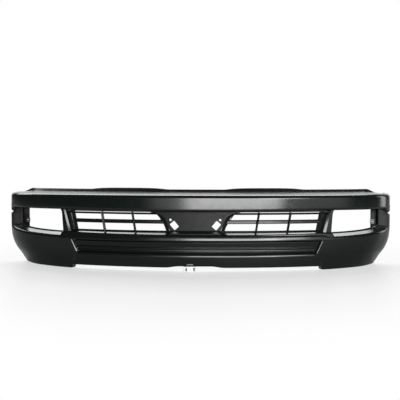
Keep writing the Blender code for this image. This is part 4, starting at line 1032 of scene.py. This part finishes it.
def make_grille(side, word, material, nut_material):
    """One grille insert, with its pegs and push nuts."""
    places = [(side * x, z) for x, z in GRILLE_PEGS]
    shells = grille_bars(side) + [grille_rib(side, x) for x in RIB_X] + grille_ends(side)
    mesh = to_mesh("grille", shells + peg_shells(places, INSERT_BACK))
    show(f"{word}_grille", mesh, material, f"{word}_grille_insert")
    make_push_nuts(f"{word}_grille_insert", places, INSERT_BACK, nut_material)


def plate_hole_cutters(side):
    """Cutters of a tilted square hole with rounded corners and of the small round hole beside it."""
    origin, across, up, back = front_frame(side * PLATE_HOLE_X, INSERT_BACK, PLATE_HOLE_Z)
    w, h = PLATE_HOLE_WIDTH / 2, PLATE_HOLE_HEIGHT / 2
    flat = loop_of([(-w, -h), (w, -h), (w, h), (-w, h)], PLATE_HOLE_CORNER, 5)
    tilt = side * PLATE_HOLE_TILT
    u = flat[:, 0] * math.cos(tilt) - flat[:, 1] * math.sin(tilt)
    v = flat[:, 0] * math.sin(tilt) + flat[:, 1] * math.cos(tilt)
    face = origin + u[:, None] * across + v[:, None] * up
    square = tube(np.stack([face - BORE_REACH * back, face + BORE_REACH * back]))
    return [square, bore(front_frame(side * PLATE_DOT_X, INSERT_BACK, PLATE_DOT_Z), PLATE_DOT_R)]


def plate_foot():
    """The foot of the plate panel: a bent section over the ledge, carried across."""
    loop = loop_of([
        (INSERT_BACK - 0.0007, ROW_BOTTOM_Z - 0.0020), (INSERT_BACK - 0.0007, ROW_BOTTOM_Z + 0.0015),
        (0.0335, ROW_BOTTOM_Z), (0.0290, RECESS_FLOOR_Z - 0.0023), (0.0130, LEDGE_FRONT_Z + 0.0067),
        (PLATE_FOOT_FRONT, LEDGE_FRONT_Z + 0.0047), (PLATE_FOOT_FRONT, LEDGE_FRONT_Z + 0.0009),
        (0.0310, RECESS_FLOOR_Z - 0.0047)], 0.0008)
    half = frame_inner_x(INSERT_BOTTOM_Z) - PLATE_GAP
    return crossbar(1, leaning(-half, 0.0), leaning(half, 0.0), loop, PLATE_STEPS)


def make_plate(material, nut_material):
    """The plate panel between the grilles: a thin curved plate with four holes, and a foot over the ledge."""
    heights = spans((ROW_BOTTOM_Z, GRILLE_BEND_Z, 12), (GRILLE_BEND_Z + 0.005, INSERT_TOP_Z, 12))
    edge = moved(frame_inner_x, -PLATE_GAP)
    front, back = INSERT_BACK - PLATE_WALL, INSERT_BACK
    panel = plain_panel(1, mirrored(edge), edge, heights, front, back, PLATE_STEPS)
    holes = [hole for side in (-1, 1) for hole in plate_hole_cutters(side)]
    places = [(side * x, z) for x, z in PLATE_PEGS for side in (-1, 1)]
    mesh = cut(to_mesh("plate", [panel]), [to_mesh("plate_holes", holes)])
    mesh = join(mesh, to_mesh("plate_foot", [plate_foot()] + peg_shells(places, back)))
    show("plate", mesh, material, "plate_panel")
    make_push_nuts("plate_panel", places, back, nut_material)


def make_rib_panel(material, nut_material):
    """The ribbed panel: a section with a flat, two ribs and their grooves, carried along the plan curve."""
    face, groove, back = RIB_FACE, RIB_GROOVE, RIB_BACK
    top, foot = RIB_STRIP_TOP_Z, RIB_STRIP_FOOT_Z
    loop = loop_of([
        (face + 0.001, top), (face - 0.003, top - 0.002), (face + 0.004, 0.1010), (face - 0.0045, 0.0985),
        (face - 0.0040, 0.0945), (groove, 0.0925), (groove, 0.0865), (face - 0.0025, 0.0845),
        (face - 0.0015, 0.0805), (groove + 0.001, 0.0790), (groove + 0.001, foot), (back, foot),
        (back, top)], 0.0012)
    end = moved(rib_end_x, RIB_STRIP_REACH)
    places = [(side * x, RIB_PEG_Z) for x in RIB_PEG_X for side in (-1, 1)]
    shells = [crossbar(1, mirrored(end), end, loop, RIB_STRIP_STEPS, 0.0)] + peg_shells(places, back)
    show("ribbed_strip", to_mesh("rib_panel", shells), material, "lower_rib_panel")
    make_push_nuts("lower_rib_panel", places, back, nut_material)


# Lamp brackets, side rails and clip


def bracket_edge_x(z):
    """X of the outer edge of a lamp bracket's wall, just clear of the skin."""
    x, _, heading = plan(at_angle(BRACKET_ANGLE))
    return x - (tuck(z) + WALL + 2 * BOND_GAP) / np.sin(heading)


BRACKET_Y = float(plan(at_angle(BRACKET_ANGLE))[1]) - DEPTH / 2
BRACKET_INNER_X = float(bracket_edge_x(TUCK_TOP_Z)) - BRACKET_WIDTH
SCREW_X = BRACKET_INNER_X + SCREW_IN


def bracket_wall(side):
    """The flat wall of a bracket: its outline in X and Z at four depths, with the outer two pulled in."""
    heights = np.linspace(BRACKET_BOTTOM_Z, BRACKET_NOTCH_Z, 8)
    edge = np.column_stack([bracket_edge_x(heights), heights])
    notch_x = float(bracket_edge_x(BRACKET_NOTCH_Z)) - BRACKET_NOTCH
    rest = [(notch_x, BRACKET_NOTCH_Z + 0.001), (notch_x, BRACKET_TOP_Z), (BRACKET_INNER_X, BRACKET_TOP_Z)]
    outline = loop_of(np.concatenate([[(BRACKET_INNER_X, BRACKET_BOTTOM_Z)], edge, rest]), 0.003)
    centre = outline.mean(axis=0)
    layers = []
    for depth, pull in ((0.0, BRACKET_PULL), (BRACKET_BEVEL, 1.0), (BRACKET_WALL - BRACKET_BEVEL, 1.0),
                        (BRACKET_WALL, BRACKET_PULL)):
        flat = centre + (outline - centre) * pull
        layers.append(np.column_stack([side * flat[:, 0], np.full(len(flat), BRACKET_Y + depth), flat[:, 1]]))
    return tube(np.stack(layers))


def bracket_column(side):
    """The rounded column on a bracket: half an ellipse that stands on the wall."""
    turn = np.linspace(0.0, math.pi, 15)
    x = BRACKET_INNER_X + COLUMN_IN - COLUMN_HALF_WIDTH * np.cos(turn)
    y = BRACKET_Y + 0.001 - COLUMN_DEPTH * np.sin(turn)
    heights = np.linspace(BRACKET_BOTTOM_Z + COLUMN_SHORT, BRACKET_TOP_Z - COLUMN_SHORT, 6)
    return standing(side, np.column_stack([x, y]), heights)


def bracket_gusset(side):
    """The gusset under the screw point: a thin web whose reach shrinks as it rises."""
    x = SCREW_X + GUSSET_HALF * np.array([-1.0, -1.0, 1.0, 1.0])
    y = BRACKET_Y + 0.001 * np.array([1.0, 0.0, 0.0, 1.0])
    rise = np.linspace(0.0, 1.0, 5)[:, None]
    reach = np.array([0.0, 1.0, 1.0, 0.0])[None] * lerp(*GUSSET_REACH, rise)
    z = lerp(BRACKET_BOTTOM_Z + 0.004, SCREW_Z - SPEED_NUT_HEIGHT / 2 - 0.001, rise)
    return tube(np.stack(np.broadcast_arrays(side * x[None], y[None] - reach, z), axis=-1))


def bracket_flange(side):
    """The bonding flange of a bracket: a thin rounded section along the inside of the skin."""
    start = at_angle(BRACKET_ANGLE) + 0.0005
    station = np.linspace(start, start + BRACKET_FLANGE, 8)
    near, far = WALL + BOND_GAP, WALL + BOND_GAP + BRACKET_WALL
    low, high = BRACKET_FLANGE_BOTTOM_Z, BRACKET_NOTCH_Z
    loop = loop_of([(near, low), (far, low), (far, high), (near, high)], 0.0008)
    return swept(side * station[:, None], loop[None])


def make_lamp_bracket(side, word, material, nut_material):
    """A lamp bracket: flat wall with a screw hole, column, gusset and bonding flange; and its speed nut."""
    spot = (np.array([side * SCREW_X, BRACKET_Y, SCREW_Z]), *np.eye(3)[[0, 2, 1]])
    hole = to_mesh("bracket_hole", [bore(spot, SCREW_HOLE_R + 0.001)])
    wall = cut(to_mesh("bracket_wall", [bracket_wall(side)]), [hole])
    rest = to_mesh("bracket_rest", [bracket_column(side), bracket_gusset(side), bracket_flange(side)])
    show(f"{word}_lamp_mount", join(wall, rest), material, f"{word}_lamp_bracket")
    make_speed_nut(side, word, spot, nut_material)


def make_speed_nut(side, word, spot, material):
    """A speed nut: a folded sheet round the wall's edge, with a drawn collar round its hole."""
    inner, near, far = BRACKET_INNER_X - FIT, BRACKET_Y - FIT, BRACKET_Y + BRACKET_WALL + FIT
    tip, fold = inner + SPEED_NUT_LENGTH, inner - SPEED_NUT_WALL
    front, back = near - SPEED_NUT_WALL, far + SPEED_NUT_WALL
    loop = loop_of([(fold, front), (tip, front), (tip, near), (inner, near),
                    (inner, far), (tip, far), (tip, back), (fold, back)], 0.0005)
    heights = (SCREW_Z - SPEED_NUT_HEIGHT / 2, SCREW_Z + SPEED_NUT_HEIGHT / 2)
    face, hole = -FIT - SPEED_NUT_WALL, SCREW_HOLE_R
    sheet = to_mesh("nut_sheet", [standing(side, loop, heights)])
    sheet = cut(sheet, [to_mesh("nut_hole", [bore(spot, hole)])])
    collar = [(hole, face + 0.0004), (hole, face - 0.0026), (hole + 0.0010, face - 0.0028),
              (hole + 0.0018, face - 0.0010), (hole + 0.0030, face + 0.0002)]
    mesh = join(sheet, to_mesh("nut_collar", [ring(turned(spot, collar))]))
    show(f"{word}_screw_nut", mesh, material, f"{word}_lamp_speed_nut")


def make_side_bracket(side, word, material, rivet_material):
    """A side rail: a rounded angle section along the wing's rear flange, and its two turned rivets."""
    start = HALF_LENGTH - RAIL_END_GAP - RAIL_LENGTH
    station = np.linspace(start, start + RAIL_LENGTH, 16)
    rear, rear_z = top_rear(station)
    front, top = rear + FIT, rear_z - RAIL_DROP
    foot = top - RAIL_HEIGHT - RAIL_WALL
    pairs = [(front, foot), (front + RAIL_LEG, foot), (front + RAIL_LEG, foot + RAIL_WALL),
             (front + RAIL_WALL, foot + RAIL_WALL), (front + RAIL_WALL, top), (front, top)]
    loop = soften(section(pairs, len(station)), 0.0009, closed=True)
    mesh = to_mesh("rail", [swept(side * station[:, None], loop)])
    show(f"{word}_wing_rail", mesh, material, f"{word}_side_bracket")
    near, far = -WALL - FIT, RAIL_WALL + 2 * FIT
    head = [(RIVET_HEAD_R * 0.5, RIVET_HEAD), (RIVET_HEAD_R - 0.0006, RIVET_HEAD * 0.7), (RIVET_HEAD_R, 0.0)]
    profile = [(radius, near - height) for radius, height in head] + [(RIVET_R, near), (RIVET_R, far)]
    profile += [(radius, far + height) for radius, height in reversed(head)]
    for step, end in ((-RIVET_SPACING / 2, "front"), (RIVET_SPACING / 2, "rear")):
        spot = rear_frame(side * (start + RAIL_LENGTH / 2 + step), REAR_FLANGE / 2)
        mesh = to_mesh("rivet", [tube(turned(spot, profile, 28))])
        show(f"{word}_{end}_rail_rivet", mesh, rivet_material, f"{word}_{end}_bracket_rivet")


def make_clip(material):
    """The white clip: a rounded hook section carried across, with two slots cut in its front."""
    lip_z = LIP_BOTTOM_Z + LIP_NOTCH
    under, over = lip_z - 2 * FIT, lip_z + 0.0005 + WALL + 2 * FIT
    rear = LIP_RETURN + 2 * FIT
    hook, back, top = rear - CLIP_HOOK, rear + CLIP_WALL, over + CLIP_WALL
    loop = loop_of([(CLIP_FRONT, 0.0), (back, 0.0), (back, top), (hook, top), (hook, over), (rear, over),
                    (rear, under), (CLIP_FRONT, under)], 0.0012)
    across = CLIP_X + CLIP_WIDTH * np.array([-0.5, -0.485, 0.0, 0.485, 0.5])
    pull = np.array([0.97, 1.0, 1.0, 1.0, 0.97])[:, None, None]
    centre = np.array([0.5 * (CLIP_FRONT + rear), 0.5 * under])
    rows = np.maximum(centre + (loop[None] - centre) * pull, 0.0)
    body = to_mesh("clip_body", [swept(at_x(across)[:, None], rows)])
    front, half = CLIP_FRONT - DEPTH / 2, SLOT_WIDTH / 2
    slots = [box_shell((x - half, front - 0.01, SLOT_BOTTOM_Z),
                       (x + half, front + SLOT_DEPTH, SLOT_BOTTOM_Z + SLOT_HEIGHT))
             for x in (SLOT_MIDDLE_X - SLOT_X, SLOT_MIDDLE_X + SLOT_X)]
    show("lip_clip", cut(body, [to_mesh("clip_slots", slots)]), material, "lower_lip_clip")


# Shader nodes


def plug(tree, node, inputs):
    """Set a node's sockets: a number or colour is set, another node's output is linked."""
    for socket, value in inputs.items():
        if isinstance(value, bpy.types.NodeSocket):
            tree.links.new(value, node.inputs[socket])
        else:
            node.inputs[socket].default_value = value


def add_node(tree, kind, inputs=None, **settings):
    """A shader node with its settings and its sockets."""
    node = tree.nodes.new("ShaderNode" + kind)
    for name, value in settings.items():
        setattr(node, name, value)
    plug(tree, node, inputs or {})
    return node


def arithmetic(tree, operation, *values):
    """A math node on shader values and numbers."""
    return add_node(tree, "Math", dict(enumerate(values)), operation=operation).outputs["Value"]


def mask(tree, value, start, end):
    """A smooth step of a shader value: 0 at start, 1 at end."""
    inputs = {"Value": value, "From Min": start, "From Max": end}
    return add_node(tree, "MapRange", inputs, interpolation_type="SMOOTHSTEP").outputs["Result"]


def between(tree, value, low, high):
    """1 between two soft edges of a shader value, 0 outside them."""
    return arithmetic(tree, "MULTIPLY", mask(tree, value, *low), mask(tree, value, *high))


def axes_of(tree, coordinates):
    """X, Y and Z of a set of texture coordinates."""
    return add_node(tree, "SeparateXYZ", {0: add_node(tree, "TexCoord").outputs[coordinates]}).outputs


def seen_share(tree, glossy):
    """1 for rays from the camera or through glass, and the given share for glossy rays."""
    path = add_node(tree, "LightPath").outputs
    clear = arithmetic(tree, "MAXIMUM", path["Is Camera Ray"], path["Is Transmission Ray"])
    return arithmetic(tree, "MULTIPLY_ADD", path["Is Glossy Ray"], glossy, clear)


def mix(tree, kind, share, first, second):
    """A mix of two numbers (FLOAT) or two colours (RGBA)."""
    low, high, out = MIX_SOCKETS[kind]
    return add_node(tree, "Mix", {0: share, low: first, high: second}, data_type=kind).outputs[out]


def mix_over(tree, kind, socket, share, value):
    """Mix a value over what the shader's socket already takes, by a share."""
    target = tree.nodes["Principled BSDF"].inputs[socket]
    tree.links.new(mix(tree, kind, share, target.links[0].from_socket, value), target)


# Materials


def finish(name):
    """A finish from the table: two shades mixed by soft clouds, fine grain, roughness that wanders."""
    dark, light, rough, grain, shine, metal = FINISHES[name]
    material = bpy.data.materials.new(name)
    material.use_nodes = True
    tree = material.node_tree
    where = add_node(tree, "TexCoord").outputs["Object"]

    def noise(scale, detail):
        return add_node(tree, "TexNoise", {"Scale": scale, "Detail": detail, "Vector": where}).outputs["Fac"]

    gloss = {"Value": noise(*GLOSS_NOISE), "From Min": GLOSS_FROM[0], "From Max": GLOSS_FROM[1],
             "To Min": rough * GLOSS_TO[0], "To Max": rough * GLOSS_TO[1]}
    bump = {"Strength": grain, "Distance": GRAIN_DEPTH, "Height": noise(*GRAIN_NOISE)}
    plug(tree, tree.nodes["Principled BSDF"], {
        "Specular IOR Level": shine,
        "Metallic": metal,
        "Base Color": mix(tree, "RGBA", noise(*CLOUD_NOISE), (*dark, 1.0), (*light, 1.0)),
        "Roughness": add_node(tree, "MapRange", gloss).outputs["Result"],
        "Normal": add_node(tree, "Bump", bump).outputs["Normal"],
    })
    return material


def cover_black():
    """Black skin with a low sheen, left matt inside the lamp pockets at both ends."""
    material = finish("cover_black")
    tree = material.node_tree
    axes = axes_of(tree, "Object")
    sides = between(tree, arithmetic(tree, "ABSOLUTE", axes["X"]), *POCKET_X)
    pocket = arithmetic(tree, "MULTIPLY", sides, between(tree, axes["Z"], *POCKET_Z))
    mix_over(tree, "FLOAT", "Roughness", pocket, POCKET_ROUGH)
    return material


def nylon_white():
    """White nylon, with painted shade inside the clip's two slots, behind its front face."""
    material = finish("nylon_white")
    tree = material.node_tree
    axes = axes_of(tree, "Object")
    front, half = CLIP_FRONT - DEPTH / 2, SLOT_WIDTH / 2
    back = front + SLOT_DEPTH
    middle = arithmetic(tree, "ABSOLUTE", arithmetic(tree, "SUBTRACT", axes["X"], SLOT_MIDDLE_X))
    off = arithmetic(tree, "ABSOLUTE", arithmetic(tree, "SUBTRACT", middle, SLOT_X))
    depth = between(tree, axes["Y"], (front + 0.001, front + 0.003), (back + 0.002, back + 0.001))
    inside = arithmetic(tree, "MULTIPLY", mask(tree, off, half + 0.0009, half + 0.0003), depth)
    # Painted shade over the base colour inside the slots
    mix_over(tree, "RGBA", "Base Color", inside, SLOT_PAINTED_SHADE)
    return material


# Stage, light and camera


def make_floor():
    """Pale floor that keeps the shadow; the camera sees it brighter, and white far from the object."""
    half, near, far = FLOOR_HALF, FLOOR_NEAR, FLOOR_FAR
    mesh = bpy.data.meshes.new("floor")
    corners = [(-half, near, 0.0), (half, near, 0.0), (half, far, 0.0), (-half, far, 0.0)]
    mesh.from_pydata(corners, [], [(0, 1, 2, 3)])
    material = bpy.data.materials.new("pale_floor")
    material.use_nodes = True
    tree = material.node_tree
    shader = tree.nodes["Principled BSDF"]
    looks = {"Base Color": FLOOR_GREY, "Roughness": FLOOR_ROUGH, "Specular IOR Level": FLOOR_SPECULAR}
    plug(tree, shader, looks)
    lit = shader.outputs["BSDF"]
    glow = add_node(tree, "Emission", {"Strength": FLOOR_GLOW}).outputs[0]
    bright = add_node(tree, "AddShader", {0: lit, 1: glow}).outputs[0]
    white = add_node(tree, "Emission").outputs[0]
    where = add_node(tree, "TexCoord").outputs["Object"]
    away = add_node(tree, "VectorMath", {0: where}, operation="LENGTH").outputs["Value"]
    pale = add_node(tree, "MixShader", {0: mask(tree, away, *FLOOR_FADE), 1: bright, 2: white}).outputs[0]
    pick = add_node(tree, "MixShader", {0: seen_share(tree, FLOOR_SHINE), 1: lit, 2: pale}).outputs[0]
    plug(tree, tree.nodes["Material Output"], {"Surface": pick})
    mesh.materials.append(material)
    to_object("floor", mesh)


def make_world():
    """White behind the object and dim in front of it; the camera sees plain white."""
    world = bpy.data.worlds.new("studio")
    bpy.context.scene.world = world
    world.use_nodes = True
    tree = world.node_tree
    behind = mask(tree, axes_of(tree, "Generated")["Y"], *BACK_EDGE)
    level = arithmetic(tree, "MULTIPLY_ADD", behind, 1.0 - FRONT_LEVEL, FRONT_LEVEL)
    plug(tree, tree.nodes["Background"], {"Color": WHITE, "Strength": level})
    sky = tree.nodes["Background"].outputs[0]
    white = add_node(tree, "Background", {"Color": WHITE}).outputs[0]
    pick = add_node(tree, "MixShader", {0: seen_share(tree, behind), 1: sky, 2: white}).outputs[0]
    plug(tree, tree.nodes["World Output"], {"Surface": pick})


def add_lamp(name, where, target, size, power):
    """A soft rectangular lamp that faces its target."""
    lamp = bpy.data.lights.new(name, "AREA")
    lamp.shape = "RECTANGLE"
    lamp.size, lamp.size_y = size
    lamp.energy = power
    toward = np.asarray(target, float) - np.asarray(where, float)
    yaw = math.atan2(toward[0], toward[1])
    pitch = math.atan2(toward[2], math.hypot(toward[0], toward[1]))
    turn = Matrix.Rotation(-yaw, 4, "Z") @ Matrix.Rotation(math.pi / 2 + pitch, 4, "X")
    to_object(name, lamp).matrix_world = Matrix.Translation(where) @ turn


def make_camera():
    """Camera at the photograph's viewing angle."""
    data = bpy.data.cameras.new("camera")
    data.sensor_width = CAMERA_SENSOR
    data.lens = CAMERA_LENS
    thing = to_object("camera", data)
    tilt = Matrix.Rotation(math.pi / 2 - CAMERA_DROP, 4, "X") @ Matrix.Rotation(CAMERA_ROLL, 4, "Z")
    thing.matrix_world = Matrix.Translation(CAMERA_PLACE) @ Matrix.Rotation(CAMERA_YAW, 4, "Z") @ tilt
    bpy.context.scene.camera = thing


def main():
    """Build the looks."""
    bpy.context.scene.view_settings.view_transform = "Standard"
    make_camera()
    make_world()
    make_floor()
    for lamp in LAMPS:
        add_lamp(*lamp)
    make_cover(cover_black())
    make_strip(finish("strip_black"))
    make_retainers(finish("grommet_black"), finish("pin_black"))
    grille, bracket = finish("grille_black"), finish("bracket_black")
    zinc, dark = finish("zinc_steel"), finish("dark_steel")
    for side, word in SIDES:
        make_grille(side, word, grille, zinc)
        make_lamp_bracket(side, word, bracket, dark)
        make_side_bracket(side, word, bracket, zinc)
    make_plate(finish("plate_satin"), zinc)
    make_rib_panel(finish("rib_black"), zinc)
    make_clip(nylon_white())


main()
